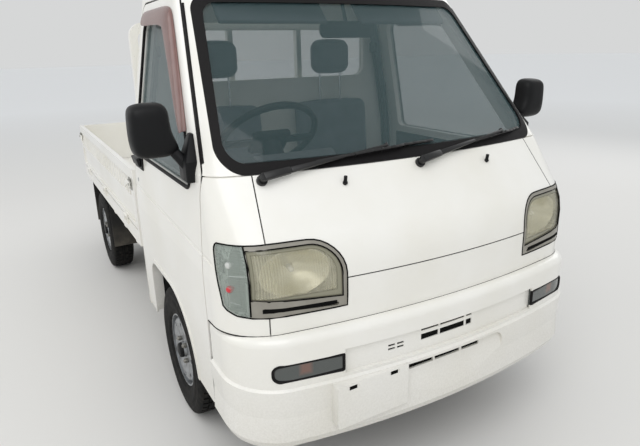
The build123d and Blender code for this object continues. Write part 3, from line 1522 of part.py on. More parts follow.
with BuildPart() as rear_bumper:
    with Locations(((tailgate_face_x + rail_rear_x) / 2 + 4.0, 0, rear_rail_z + rail_height / 2)):
        Box(rail_rear_x - tailgate_face_x - 8.0, 2 * rail_y + rail_width, rail_height - 10.0)
    fillet(rear_bumper.edges().filter_by(Axis.Y), 10.0)
export(rear_bumper.part, "rear_bumper")

with BuildPart() as rear_mudguards:
    for flap_x in (flap_front_x, flap_rear_x):
        with Locations((flap_x, 0, (flap_low_z + bed_low_z) / 2)):
            with GridLocations(1.0, 2 * flap_y, 1, 2):
                Box(6.0, flap_width, bed_low_z - flap_low_z)
export(rear_mudguards.part, "rear_mudguards")
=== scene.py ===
import math
import bpy
from mathutils import Matrix, Vector


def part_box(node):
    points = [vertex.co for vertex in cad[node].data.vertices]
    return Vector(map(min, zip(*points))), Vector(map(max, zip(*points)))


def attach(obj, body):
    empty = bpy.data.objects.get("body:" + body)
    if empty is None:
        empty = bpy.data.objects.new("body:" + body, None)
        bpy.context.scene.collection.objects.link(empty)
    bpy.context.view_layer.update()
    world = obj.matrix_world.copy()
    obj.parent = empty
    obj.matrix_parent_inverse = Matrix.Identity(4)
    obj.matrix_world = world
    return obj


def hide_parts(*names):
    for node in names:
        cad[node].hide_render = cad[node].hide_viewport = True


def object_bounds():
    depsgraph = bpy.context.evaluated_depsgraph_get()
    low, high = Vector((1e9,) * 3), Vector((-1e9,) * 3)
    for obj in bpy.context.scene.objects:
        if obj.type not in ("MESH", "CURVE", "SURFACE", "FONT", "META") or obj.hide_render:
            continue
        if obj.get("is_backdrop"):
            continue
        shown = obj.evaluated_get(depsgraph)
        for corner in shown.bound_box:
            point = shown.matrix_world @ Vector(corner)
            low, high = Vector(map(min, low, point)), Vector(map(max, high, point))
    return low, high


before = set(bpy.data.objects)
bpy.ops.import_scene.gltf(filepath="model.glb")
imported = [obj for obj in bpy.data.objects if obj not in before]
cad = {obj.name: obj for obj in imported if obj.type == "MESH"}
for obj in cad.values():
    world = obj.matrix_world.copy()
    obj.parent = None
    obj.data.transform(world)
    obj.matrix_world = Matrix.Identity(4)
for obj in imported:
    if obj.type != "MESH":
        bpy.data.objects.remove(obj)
cad_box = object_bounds()

# Camera: stands ahead of the truck's right front corner, at the height of the windows, and looks back
# and down along the cab's side.
camera_place = Vector((2.8827, -1.1719, 1.4561))
yaw, pitch, roll = (math.radians(a) for a in (150.789, -17.212, -1.31))
forward = Vector((math.cos(pitch) * math.cos(yaw), math.cos(pitch) * math.sin(yaw), math.sin(pitch)))
right = forward.cross(Vector((0, 0, 1))).normalized()
upward = right.cross(forward)
camera_right = math.cos(roll) * right + math.sin(roll) * upward
camera_up = math.cos(roll) * upward - math.sin(roll) * right
camera_data = bpy.data.cameras.new("camera")
camera = bpy.data.objects.new("camera", camera_data)
bpy.context.scene.collection.objects.link(camera)
camera.matrix_world = Matrix.Translation(camera_place) @ Matrix(
    (camera_right, camera_up, -forward)
).transposed().to_4x4()
camera_data.sensor_fit = "HORIZONTAL"
camera_data.sensor_width = 36.0
camera_data.lens = 30.374
camera_data.shift_y = -0.009
camera_data.clip_start = 0.05
camera_data.clip_end = 200.0
bpy.context.scene.camera = camera
bpy.context.scene.view_settings.view_transform = "Standard"


# Studio: a pale seamless floor under an even overcast sky, with one broad soft lamp high over the front
# right corner and a weaker one out on each side.
def linear(code, alpha=1.0):
    """An sRGB hex colour as the linear values that a shader takes."""
    parts = [int(code[i : i + 2], 16) / 255 for i in (1, 3, 5)]
    return tuple(p / 12.92 if p <= 0.04045 else ((p + 0.055) / 1.055) ** 2.4 for p in parts) + (alpha,)


def feed(node, inputs):
    """Sets a node's inputs to values and hex colours, or links them from sockets and other nodes."""
    for name, value in inputs.items():
        if isinstance(value, bpy.types.Node):
            value = next(socket for socket in value.outputs if socket.enabled)
        if isinstance(value, bpy.types.NodeSocket):
            node.id_data.links.new(value, node.inputs[name])
        else:
            node.inputs[name].default_value = linear(value) if isinstance(value, str) else value


def add_node(tree, kind, inputs=None, **settings):
    """One shader node with its settings and inputs."""
    made = tree.nodes.new("ShaderNode" + kind)
    for name, value in settings.items():
        setattr(made, name, value)
    feed(made, inputs or {})
    return made


def start_material(name, colour, roughness, **sockets):
    """A material, its node tree, its shader with some inputs set, and the object's coordinates."""
    material = bpy.data.materials.new(name)
    material.use_nodes = True
    tree = material.node_tree
    shader = tree.nodes["Principled BSDF"]
    feed(shader, {"Base Color": colour, "Roughness": roughness})
    feed(shader, {socket.replace("_", " "): value for socket, value in sockets.items()})
    return material, tree, shader, add_node(tree, "TexCoord").outputs["Object"]


floor_mat, tree, shader, place = start_material("studio_floor", "#dedcd8", 0.9)
# The floor pales between 4 and 14 m from the truck
away = add_node(tree, "VectorMath", {0: place}, operation="LENGTH")
fade = add_node(tree, "MapRange", {"Value": away, 1: 4.0, 2: 14.0})
floor_colour = add_node(tree, "Mix", {"Factor": fade, "A": "#dedcd8", "B": "#f4f4f3"}, data_type="RGBA")
feed(shader, {"Base Color": floor_colour})
bpy.ops.mesh.primitive_grid_add(x_subdivisions=8, y_subdivisions=8, size=160)
floor = bpy.context.object
floor.name = "studio_floor"
floor.data.materials.append(floor_mat)
floor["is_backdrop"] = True
world = bpy.data.worlds.new("overcast")
world.use_nodes = True
bpy.context.scene.world = world
tree = world.node_tree
background = tree.nodes["Background"]
feed(background, {"Color": "#eef1f4", "Strength": 0.86})
camera_background = add_node(tree, "Background", {"Color": "#d6d7d7", "Strength": 1.0})
path = add_node(tree, "LightPath")
mirrored = add_node(
    tree, "Math", {0: path.outputs["Is Camera Ray"], 1: path.outputs["Is Glossy Ray"]}, operation="MAXIMUM"
)
seen = add_node(tree, "Math", {0: mirrored, 1: path.outputs["Is Transmission Ray"]}, operation="MAXIMUM")
pick = add_node(tree, "MixShader", {0: seen, 1: background, 2: camera_background})
feed(tree.nodes["World Output"], {"Surface": pick})
for name, place, size, power in (
    ("sky_panel", (4.0, -2.5, 5.5), 5.0, 150.0),
    ("side_panel", (-2.0, -5.0, 4.0), 4.0, 55.0),
    ("far_panel", (-1.0, 5.5, 4.0), 4.0, 55.0),
):
    lamp_data = bpy.data.lights.new(name, "AREA")
    lamp_data.size = size
    lamp_data.energy = power
    lamp = bpy.data.objects.new(name, lamp_data)
    bpy.context.scene.collection.objects.link(lamp)
    lamp.location = place
    lamp.rotation_euler = (Vector((0, 0, 0.6)) - Vector(place)).to_track_quat("-Z", "Y").to_euler()


# Body panels: pressed steel in warm white stove enamel, sprayed and baked. The clear gloss is even, the
# white is a touch yellower in patches, and road dust has settled low on the sills.
body_paint, tree, shader, place = start_material(
    "white_enamel", "#eeece6", 0.32, Coat_Weight=0.55, Coat_Roughness=0.06
)
# Patches about 400 mm across
patches = add_node(tree, "TexNoise", {"Vector": place, "Scale": 2.5, "Detail": 4.0})
tone = add_node(tree, "MapRange", {"Value": patches, 1: 0.4, 2: 0.75})
colour = add_node(tree, "Mix", {"Factor": tone, "A": "#eeece6", "B": "#e6e3d9"}, data_type="RGBA")
# Dust specks about 6 mm across, thinning out up to 620 mm above the road
height = add_node(tree, "SeparateXYZ", {0: place}).outputs["Z"]
low = add_node(tree, "MapRange", {"Value": height, 1: 0.28, 2: 0.62, 3: 0.45, 4: 0.0})
specks = add_node(tree, "TexNoise", {"Vector": place, "Scale": 160.0, "Detail": 3.0})
dirt = add_node(tree, "Math", {0: low, 1: specks}, operation="MULTIPLY")
dusty = add_node(tree, "Mix", {"Factor": dirt, "A": colour, "B": "#9c9486"}, data_type="RGBA")
rough = add_node(tree, "MapRange", {"Value": dirt, 1: 0.0, 2: 0.3, 3: 0.3, 4: 0.6})
feed(shader, {"Base Color": dusty, "Roughness": rough})


def dress(material, *names):
    """Puts one material on CAD nodes."""
    for name in names:
        for slot in cad[name].material_slots:
            slot.material = material


dress(
    body_paint,
    "roof_panel", "back_panel", "cab_sides", "front_panel", "nose_panel", "corner_panels",
    "front_bumper", "door_left", "door_right", "bed_floor", "gate_left", "gate_right", "tailgate",
    "number_plate",
)

# Windscreen, door glass and rear window: toughened float glass with a grey-green cast, clean
# enough to see the seats through. It mirrors more at a glancing angle.
glass_mat, tree, shader, place = start_material("float_glass", "#4b6062", 0.03, IOR=1.5)
facing = add_node(tree, "LayerWeight", {"Blend": 0.35}).outputs["Facing"]
cover = add_node(tree, "MapRange", {"Value": facing, 3: 0.2, 4: 0.72})
feed(shader, {"Alpha": cover})
dress(glass_mat, "windscreen", "rear_window", "door_glass_left", "door_glass_right")

# Windscreen seal and the doors' window rubbers: extruded black rubber, dull, with fine wipe marks. The
# seal grips the glass and the cab's edge all round.
rubber_mat, tree, shader, place = start_material("seal_rubber", "#100e0f", 0.5, Specular_IOR_Level=0.2)
# Wipe marks about 3 mm apart
marks = add_node(tree, "TexNoise", {"Vector": place, "Scale": 320.0, "Detail": 2.0})
rough = add_node(tree, "MapRange", {"Value": marks, 1: 0.3, 2: 0.7, 3: 0.5, 4: 0.7})
feed(shader, {"Roughness": rough})
dress(rubber_mat, "windscreen_seal")


def select_only(piece):
    """Leaves one piece selected and active."""
    bpy.ops.object.select_all(action="DESELECT")
    piece.select_set(True)
    bpy.context.view_layer.objects.active = piece


def bead(name, points, radius, material, closed=False):
    """A round bead of rubber, wire or tube along a row of points."""
    curve = bpy.data.curves.new(name, "CURVE")
    curve.dimensions = "3D"
    curve.bevel_depth = radius
    curve.bevel_resolution = 2
    curve.use_fill_caps = not closed
    spline = curve.splines.new("POLY")
    spline.points.add(len(points) - 1)
    for spot, point in zip(spline.points, points):
        spot.co = (*point, 1.0)
    spline.use_cyclic_u = closed
    piece = bpy.data.objects.new(name, curve)
    bpy.context.scene.collection.objects.link(piece)
    select_only(piece)
    bpy.ops.object.convert(target="MESH")
    piece = bpy.context.object
    piece.data.materials.clear()
    piece.data.materials.append(material)
    bpy.ops.object.shade_smooth_by_angle(angle=math.radians(50))
    return piece


def rounded_loop(corners, radius, steps=6):
    """A closed loop of 2-D points with each corner turned by an arc of one radius."""
    loop = []
    for i, corner in enumerate(corners):
        here = Vector(corner)
        back = (Vector(corners[i - 1]) - here).normalized()
        ahead = (Vector(corners[(i + 1) % len(corners)]) - here).normalized()
        half_angle = math.acos(max(-1.0, min(1.0, back.dot(ahead)))) / 2
        reach = radius / math.tan(half_angle)
        centre = here + (back + ahead).normalized() * radius / math.sin(half_angle)
        start = here + back * reach - centre
        stop = here + ahead * reach - centre
        for k in range(steps + 1):
            spoke = start.lerp(stop, k / steps).normalized() * radius
            loop.append(centre + spoke)
    return loop


def first_hit(start, ahead, names):
    """Where a ray first meets some CAD nodes: the point and its normal, or None."""
    best = None
    for name in names:
        hit, point, normal, _ = cad[name].ray_cast(start, ahead)
        if hit and (best is None or (point - start).length < (best[0] - start).length):
            best = (point.copy(), normal.copy())
    return best


def on_side(x, z, side, *names):
    """The outermost point of some CAD nodes at a place seen from the truck's side, and its normal."""
    return first_hit(Vector((x, side * 1.2, z)), Vector((0, -side, 0)), names)


def on_front(y, z, *names):
    """The foremost point of some CAD nodes at a place seen from the front, and its normal."""
    return first_hit(Vector((2.5, y, z)), Vector((-1, 0, 0)), names)


def front_row(side, places, *names):
    """The foremost points at a row of places on one side, leaving out places with nothing there."""
    hits = [on_front(side * y, z, *names) for y, z in places]
    return [hit[0] for hit in hits if hit]


def side_row(side, places, *names):
    """The outermost points at a row of places seen from one side."""
    return [on_side(x, z, side, *names)[0] for x, z in places]


def spaced(start, stop, gaps):
    """Places at even steps along a straight line, with both its ends."""
    return [tuple(a + (b - a) * k / gaps for a, b in zip(start, stop)) for k in range(gaps + 1)]


def on_inside(x, z, side, name):
    """The point of a CAD node's side wall at a place seen from inside the cab, and its normal."""
    return first_hit(Vector((x, side * 0.2, z)), Vector((0, side, 0)), (name,))


def hand_over(piece, body, slot, *replaced):
    """Fixes a finished piece to its body and hides the nodes that it stands for. The slot is not used."""
    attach(piece, body)
    if replaced:
        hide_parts(*replaced)


# Door window rubbers: a round-edged channel of extruded black rubber, pressed into the window opening
# all round, in which the glass slides
both_sides = ((1, "left"), (-1, "right"))
window_corners = ((0.470, 1.046), (1.298, 1.046), (0.8735, 1.584), (0.470, 1.584))
for side, word in both_sides:
    points = side_row(side, rounded_loop(window_corners, 0.044, 8), f"door_{word}")
    rubber = bead(f"window_rubber_{word}", points, 0.0065, rubber_mat, closed=True)
    hand_over(rubber, f"door_{word}", "seal_rubber")


# Weather visors over the door windows: brown-tinted acrylic, moulded thin and bowed outwards, taped
# along the window frame. Each runs along the top and tapers down the windscreen pillar.
def mottled(name, dark, light, roughness, scale, detail, spread=None, **sockets):
    """A material whose colour drifts between two tones in noise patches. A spread has the noise values
    where the second tone starts and is full, and its greatest share."""
    material, tree, shader, place = start_material(name, dark, roughness, **sockets)
    patches = share = add_node(tree, "TexNoise", {"Vector": place, "Scale": scale, "Detail": detail})
    if spread:
        start, full, most = spread
        share = add_node(tree, "MapRange", {"Value": patches, 1: start, 2: full, 3: 0.0, 4: most})
    tone = add_node(tree, "Mix", {"Factor": share, "A": dark, "B": light}, data_type="RGBA")
    feed(shader, {"Base Color": tone})
    return material, tree, shader, place, patches


def from_points(name, verts, edges, faces, material):
    """A piece from its points, edges and faces, opened in edit mode with everything selected."""
    mesh = bpy.data.meshes.new(name)
    mesh.from_pydata(verts, edges, faces)
    mesh.materials.append(material)
    piece = bpy.data.objects.new(name, mesh)
    bpy.context.scene.collection.objects.link(piece)
    select_only(piece)
    bpy.ops.object.mode_set(mode="EDIT")
    bpy.ops.mesh.select_all(action="SELECT")
    return piece


def apply_modifier(piece, kind, **settings):
    """Adds a modifier to the active piece and applies it, back in object mode."""
    bpy.ops.object.mode_set(mode="OBJECT")
    select_only(piece)
    modifier = piece.modifiers.new(kind.lower(), kind)
    for key, value in settings.items():
        setattr(modifier, key, value)
    bpy.ops.object.modifier_apply(modifier=modifier.name)


visor_mat = mottled("tinted_acrylic", "#8f6e66", "#6d4a48", 0.22, 9.0, 3.0, Alpha=0.82, Coat_Weight=0.3)[0]
# Fixed edge along the frame: X, Z, and the visor's width there
visor_path = (
    (0.470, 1.622, 0.062), (0.56, 1.622, 0.066), (0.66, 1.622, 0.068), (0.76, 1.622, 0.070),
    (0.83, 1.618, 0.074), (0.872, 1.606, 0.078), (0.902, 1.580, 0.076), (0.945, 1.527, 0.070),
    (0.995, 1.463, 0.062), (1.050, 1.392, 0.053), (1.105, 1.321, 0.043), (1.160, 1.250, 0.032),
    (1.185, 1.218, 0.022),
)
# Bow of the section: share of the width, how far it stands off the frame
visor_section = ((0.0, 0.001), (0.08, 0.009), (0.25, 0.015), (0.6, 0.020), (1.0, 0.021))
for side, word in both_sides:
    rows = []
    for i, (x, z, width) in enumerate(visor_path):
        before = visor_path[max(0, i - 1)]
        after = visor_path[min(len(visor_path) - 1, i + 1)]
        along = Vector((after[0] - before[0], after[1] - before[1])).normalized()
        inward = Vector((along.y, -along.x))
        foot, normal = on_side(x, z, side, f"door_{word}", "cab_sides")
        tilt = Vector((inward.x, 0, inward.y))
        tilt = (tilt - normal * tilt.dot(normal)).normalized()
        rows.append([foot + tilt * width * share + normal * stand for share, stand in visor_section])
    verts = [v for row in rows for v in row]
    count = len(visor_section)
    faces = [
        (r * count + c, r * count + c + 1, (r + 1) * count + c + 1, (r + 1) * count + c)
        for r in range(len(rows) - 1)
        for c in range(count - 1)
    ]
    visor = from_points(f"window_visor_{word}", verts, [], faces, visor_mat)
    bpy.ops.mesh.normals_make_consistent(inside=False)
    apply_modifier(visor, "SOLIDIFY", thickness=0.0025, offset=0.0)
    apply_modifier(visor, "SUBSURF", levels=2, render_levels=2)
    bpy.ops.object.shade_smooth_by_angle(angle=math.radians(40))
    hand_over(visor, f"door_{word}", "window_glass")


# Outside mirrors: black polypropylene housings, moulded in one with the arm, which stands on a
# three-cornered foot in the corner of the window frame. The glass faces back.
def relief(tree, shader, place, kind, scale, strength, depth, inputs=None, **settings):
    """Presses a repeating pattern into a material's surface."""
    pattern = add_node(tree, kind, {"Vector": place, "Scale": scale, **(inputs or {})}, **settings)
    height = pattern.outputs["Distance" if kind == "TexVoronoi" else "Fac"]
    bump = add_node(tree, "Bump", {"Height": height, "Strength": strength, "Distance": depth})
    feed(shader, {"Normal": bump})
    return pattern


# Moulded grain about 1.5 mm across, and chalky patches where the sun has dulled it
plastic_mat, tree, shader, place, chalk = mottled(
    "black_polypropylene", "#09090a", "#141517", 0.45, 14.0, 5.0, Specular_IOR_Level=0.22
)
relief(tree, shader, place, "TexVoronoi", 650.0, 0.25, 0.0004)
rough = add_node(tree, "MapRange", {"Value": chalk, 1: 0.35, 2: 0.65, 3: 0.36, 4: 0.56})
feed(shader, {"Roughness": rough})
dress(plastic_mat, "steering_column", "gear_lever", "room_mirror")
mirror_glass = start_material("silvered_glass", "#c9ced2", 0.03, Metallic=1.0)[0]


def block(name, low, high, material):
    """A box between two corners, opened in edit mode with everything selected."""
    low, high = Vector(low), Vector(high)
    bpy.ops.object.select_all(action="DESELECT")
    bpy.ops.mesh.primitive_cube_add(size=1)
    piece = bpy.context.object
    piece.name = name
    piece.data.transform(Matrix.Translation((low + high) / 2) @ Matrix.Diagonal((*(high - low), 1.0)))
    piece.data.materials.append(material)
    bpy.ops.object.mode_set(mode="EDIT")
    bpy.ops.mesh.select_all(action="SELECT")
    return piece


def pick_faces(piece, test):
    """In edit mode, selects only the faces whose centre and normal pass the test."""
    bpy.ops.object.mode_set(mode="OBJECT")
    for edge in piece.data.edges:
        edge.select = False
    for vertex in piece.data.vertices:
        vertex.select = False
    for face in piece.data.polygons:
        face.select = test(face.center, face.normal)
    bpy.ops.object.mode_set(mode="EDIT")
    bpy.ops.mesh.select_mode(type="FACE")


def edge_modifier(piece, width, segments=3):
    """Rounds a piece's edges and smooths its faces."""
    apply_modifier(
        piece, "BEVEL", width=width, segments=segments, limit_method="ANGLE", angle_limit=math.radians(40)
    )
    bpy.ops.object.shade_smooth_by_angle(angle=math.radians(35))


def rounded_block(name, low, high, material, width, segments=3):
    """A box between two corners with its edges rounded."""
    piece = block(name, low, high, material)
    edge_modifier(piece, width, segments)
    return piece


def cylinder(sides, radius, depth, place, turn, material):
    """A cylinder in its place."""
    bpy.ops.object.select_all(action="DESELECT")
    bpy.ops.mesh.primitive_cylinder_add(
        vertices=sides, radius=radius, depth=depth, location=place, rotation=turn
    )
    piece = bpy.context.object
    bpy.ops.object.transform_apply(location=True, rotation=True, scale=True)
    piece.data.materials.append(material)
    return piece


def smooth_modifier(piece, levels):
    """Rounds a piece all over by subdivision."""
    apply_modifier(piece, "SUBSURF", levels=levels, render_levels=levels)
    bpy.ops.object.shade_smooth()


def joined(name, pieces):
    """Several meshes as one piece."""
    bpy.ops.object.select_all(action="DESELECT")
    for piece in pieces:
        piece.select_set(True)
    bpy.context.view_layer.objects.active = pieces[0]
    bpy.ops.object.join()
    pieces[0].name = name
    return pieces[0]


def other_side(piece):
    """Mirrors a piece to the truck's other side and turns it right side out."""
    piece.data.transform(Matrix.Diagonal((1, -1, 1, 1)))
    piece.data.flip_normals()
    return piece


def own_copy(piece, name):
    """A copy of a piece with a mesh of its own."""
    other = piece.copy()
    other.data = piece.data.copy()
    other.name = name
    bpy.context.scene.collection.objects.link(other)
    return other


# Housing outline seen from ahead: distance out, height
mirror_outline = (
    (0.871, 1.312), (0.846, 1.318), (0.800, 1.319), (0.779, 1.315), (0.765, 1.303), (0.761, 1.280),
    (0.760, 1.240), (0.749, 1.206), (0.736, 1.178), (0.743, 1.161), (0.777, 1.152), (0.833, 1.152),
    (0.864, 1.157), (0.878, 1.174), (0.883, 1.215), (0.882, 1.272), (0.880, 1.298),
)
# From the front cap to the glass: X, scale about the middle
mirror_levels = (
    (1.270, 0.35), (1.267, 0.62), (1.261, 0.82), (1.250, 0.93), (1.236, 0.985), (1.218, 1.0), (1.203, 1.0),
    (1.198, 0.975), (1.197, 0.945), (1.201, 0.925), (1.207, 0.915),
)
mirror_mid = Vector((0.820, 1.236))
bpy.ops.object.select_all(action="DESELECT")
bpy.ops.mesh.primitive_circle_add(vertices=len(mirror_outline), fill_type="NGON")
housing = bpy.context.object
housing.name = "mirror_body"
for vertex, (y, z) in zip(housing.data.vertices, mirror_outline):
    spot = mirror_mid + (Vector((y, z)) - mirror_mid) * mirror_levels[0][1]
    vertex.co = (mirror_levels[0][0], spot.x, spot.y)
housing.data.materials.append(plastic_mat)
housing.data.materials.append(mirror_glass)
bpy.ops.object.mode_set(mode="EDIT")
bpy.ops.mesh.select_all(action="SELECT")
for (x0, scale0), (x1, scale1) in zip(mirror_levels, mirror_levels[1:]):
    bpy.ops.mesh.extrude_region_move(TRANSFORM_OT_translate={"value": (x1 - x0, 0, 0)})
    bpy.ops.transform.resize(
        value=(1, scale1 / scale0, scale1 / scale0), center_override=(x1, mirror_mid.x, mirror_mid.y)
    )
housing.active_material_index = 1
bpy.ops.object.material_slot_assign()
bpy.ops.mesh.select_all(action="SELECT")
bpy.ops.mesh.normals_make_consistent(inside=False)
smooth_modifier(housing, 2)
arm = bead(
    "mirror_arm",
    [(1.232, 0.772, 1.186), (1.240, 0.757, 1.168), (1.250, 0.745, 1.150), (1.261, 0.734, 1.132),
     (1.268, 0.716, 1.114)],
    0.0175,
    plastic_mat,
)
foot = block("mirror_foot", (1.222, 0.706, 1.078), (1.304, 0.744, 1.142), plastic_mat)
pick_faces(foot, lambda c, n: n.z > 0.9)
bpy.ops.mesh.extrude_region_move(TRANSFORM_OT_translate={"value": (-0.034, -0.020, 0.078)})
bpy.ops.transform.resize(value=(0.35, 0.4, 1), center_override=(1.222, 0.694, 1.22))
edge_modifier(foot, 0.007, 3)
mirror = joined("mirror_black_left", [housing, arm, foot])
mirror_right = other_side(own_copy(mirror, "mirror_black_right"))
hand_over(mirror, "door_left", "black_plastic", "mirror_left")
hand_over(mirror_right, "door_right", "black_plastic", "mirror_right")

# Door handles: black pull-up flaps in a moulded escutcheon, with the steel key lock below them. They
# are bolted to the door skin just below the window's rear corner.
lock_mat = start_material("lock_steel", "#8d8f91", 0.35, Metallic=0.9)[0]
across_truck = (math.pi / 2, 0, 0)
handle_x, handle_foot = 0.50, 1.0
for side, word in both_sides:
    skin_y = on_side(handle_x, handle_foot, side, f"door_{word}")[0].y * side
    plate = rounded_block(
        "handle_plate", (0.428, skin_y - 0.003, 0.985), (0.572, skin_y + 0.006, 1.040), plastic_mat, 0.004
    )
    grip = block("handle_grip", (0.440, skin_y + 0.004, 1.000), (0.560, skin_y + 0.024, 1.036), plastic_mat)
    pick_faces(grip, lambda c, n: n.z < -0.9)
    bpy.ops.transform.resize(value=(0.96, 0.5, 1), center_override=(handle_x, skin_y + 0.006, handle_foot))
    edge_modifier(grip, 0.006)
    lock = cylinder(24, 0.009, 0.008, (0.447, skin_y + 0.001, 0.925), across_truck, lock_mat)
    bpy.ops.object.mode_set(mode="EDIT")
    pick_faces(lock, lambda c, n: n.y > 0.9)
    bpy.ops.mesh.inset(thickness=0.003)
    bpy.ops.mesh.extrude_region_move(TRANSFORM_OT_translate={"value": (0, -0.002, 0)})
    edge_modifier(lock, 0.001, 2)
    handle = joined(f"door_handle_{word}", [plate, grip, lock])
    if side < 0:
        other_side(handle)
    hand_over(handle, f"door_{word}", "black_plastic")

# Wipers: black-painted steel arms, each folded from strip over its spring, with a hinged head on a
# capped spindle. The blades are a sprung bow that holds a soft rubber edge on the glass.
arm_mat = start_material("wiper_black", "#0f0f10", 0.38)[0]
screen_normal = on_front(0.0, 1.35, "windscreen")[1]


def on_glass(y, z, out):
    """A point standing off the windscreen."""
    return on_front(y, z, "windscreen", "windscreen_seal", "front_panel")[0] + screen_normal * out


def bar(name, start, stop, widths, heights, material=arm_mat):
    """A flat tapering bar between two points, its broad side along the glass."""
    along = (stop - start).normalized()
    across = along.cross(screen_normal).normalized()
    lift = across.cross(along)
    piece = block(name, (-0.5, -0.5, -0.5), (0.5, 0.5, 0.5), material)
    bpy.ops.object.mode_set(mode="OBJECT")
    for vertex in piece.data.vertices:
        end = 0 if vertex.co.x < 0 else 1
        spot = (start, stop)[end]
        vertex.co = spot + across * vertex.co.y * widths[end] + lift * vertex.co.z * heights[end]
    edge_modifier(piece, min(min(widths), min(heights)) * 0.3, 2)
    return piece


def bow_rise(share):
    """How far the blade's sprung bow stands off the glass, along its length."""
    return 0.008 + 0.012 * math.sin(math.pi * share)


# How far the arm, the rubber edge, the claws' feet and the clip stand off the glass
arm_lift, edge_lift, claw_lift, clip_lift = 0.026, 0.0055, 0.004, 0.012
# Spindle Y and Z, arm's end Y and Z, blade start Y and Z, blade end Y and Z
wiper_sets = (
    ("right", -0.557, 1.087, -0.112, 1.137, -0.372, 1.121, 0.098, 1.142),
    ("middle", -0.002, 1.085, 0.440, 1.134, 0.165, 1.113, 0.585, 1.138),
)
wiper_pieces = []
for word, pivot_y, pivot_z, arm_y, arm_z, start_y, start_z, end_y, end_z in wiper_sets:
    pivot = on_glass(pivot_y, pivot_z, 0.0)
    parts = []
    for radius, depth, lift in ((0.017, 0.012, 0.004), (0.0115, 0.022, 0.014), (0.0135, 0.009, 0.027)):
        collar = cylinder(28, radius, depth, (0, 0, 0), (0, 0, 0), arm_mat)
        turn = screen_normal.to_track_quat("Z", "Y").to_matrix().to_4x4()
        collar.data.transform(Matrix.Translation(pivot + screen_normal * lift) @ turn)
        edge_modifier(collar, 0.002)
        parts.append(collar)
    head_top = pivot + screen_normal * arm_lift
    arm_end = on_glass(arm_y, arm_z, arm_lift)
    knuckle = head_top.lerp(arm_end, 0.2)
    # The strip arm reaches 0.62 of the way, and the rod starts just inside its end
    parts += [
        bar("wiper_head", head_top, knuckle, (0.026, 0.022), (0.016, 0.015)),
        bar("wiper_arm", knuckle, head_top.lerp(arm_end, 0.62), (0.018, 0.011), (0.012, 0.009)),
        bar("wiper_rod", head_top.lerp(arm_end, 0.6), arm_end, (0.008, 0.008), (0.005, 0.005)),
    ]
    steps = 14
    spine = [on_glass(y, z, 0.0) for y, z in spaced((start_y, start_z), (end_y, end_z), steps)]
    bow = [spot + screen_normal * bow_rise(k / steps) for k, spot in enumerate(spine)]
    edge = [spot + screen_normal * edge_lift for spot in spine]
    for k in range(steps):
        parts.append(bar("blade_bow", bow[k], bow[k + 1], (0.009, 0.009), (0.004, 0.004)))
        parts.append(bar("blade_rubber", edge[k], edge[k + 1], (0.005, 0.005), (0.008, 0.008), rubber_mat))
    for share in (0.12, 0.3, 0.5, 0.7, 0.88):
        foot = spine[round(share * steps)] + screen_normal * claw_lift
        head = foot + screen_normal * bow_rise(share)
        parts.append(bar("blade_claw", foot, head, (0.008, 0.008), (0.010, 0.010)))
    clip = on_glass(arm_y, arm_z, clip_lift)
    parts.append(bar("blade_clip", clip, arm_end, (0.014, 0.014), (0.022, 0.022)))
    wiper_pieces.append(joined(f"wiper_{word}", parts))
for side, word in ((-1, "right"), (1, "left")):
    foot = on_glass(side * 0.303, 1.058, 0.0)
    stem = [foot - screen_normal * 0.002, foot + screen_normal * 0.007]
    nozzle = [foot + Vector((0.002, 0, 0)), foot + Vector((0.006, 0, 0.024))]
    jet = [bead("washer_jet", stem, 0.0078, plastic_mat), bead("washer_tip", nozzle, 0.0058, plastic_mat)]
    wiper_pieces.append(joined(f"washer_jet_{word}", jet))
for piece in wiper_pieces:
    hand_over(piece, "truck", "black_plastic", "wipers")

# Seats: woven grey cloth over foam, one cushion and one back for each person, drawn in along two sewn
# channels. The headrests stand on thin bent rods in front of the rear window.
cloth_mat, tree, shader, place = start_material("woven_seat_cloth", "#4b4d51", 0.92, Sheen_Weight=0.25)
# Threads drawn 2 mm apart; the real ones are nearer 1 mm and would not show
warp = add_node(tree, "TexWave", {"Vector": place, "Scale": 160.0}, bands_direction="Y")
weft = add_node(tree, "TexWave", {"Vector": place, "Scale": 160.0}, bands_direction="Z")
cross = add_node(tree, "Math", {0: warp.outputs["Fac"], 1: weft.outputs["Fac"]}, operation="MULTIPLY")
worn = add_node(tree, "TexNoise", {"Vector": place, "Scale": 12.0, "Detail": 5.0})
shade = add_node(tree, "Math", {0: cross, 1: worn}, operation="ADD")
tone = add_node(tree, "MapRange", {"Value": shade, 1: 0.3, 2: 1.2})
cloth_colour = add_node(tree, "Mix", {"Factor": tone, "A": "#585c61", "B": "#7c8187"}, data_type="RGBA")
bump = add_node(tree, "Bump", {"Height": cross, "Strength": 0.3, "Distance": 0.0006})
feed(shader, {"Base Color": cloth_colour, "Normal": bump})


channel_depth = 0.005


def cushion(name, low, high, edge, crown, channels, material):
    """A stuffed form between two corners: rounded all round, crowned, and drawn in along sewn channels."""
    middle = (low + high) / 2
    half = (high - low) / 2
    piece = block(name, low, high, material)
    bpy.ops.mesh.subdivide(number_cuts=23)
    bpy.ops.object.mode_set(mode="OBJECT")
    core = half - Vector((edge, edge, edge))
    for vertex in piece.data.vertices:
        local = vertex.co - middle
        share = Vector([local[i] / half[i] for i in range(3)])
        inner = Vector([max(-core[i], min(core[i], local[i])) for i in range(3)])
        local = inner + (local - inner).normalized() * edge
        normal = (local - inner).normalized()
        flat = max(abs(normal[0]), abs(normal[2])) > 0.9
        swell = (1 - share[1] ** 2) * (1 - min(abs(share[0]), abs(share[2])) ** 2)
        local += normal * crown * swell
        for y, width in channels:
            if flat:
                local -= normal * channel_depth * math.exp(-(((share[1] - y) / width) ** 2))
        vertex.co = middle + local
    smooth_modifier(piece, 1)
    return piece


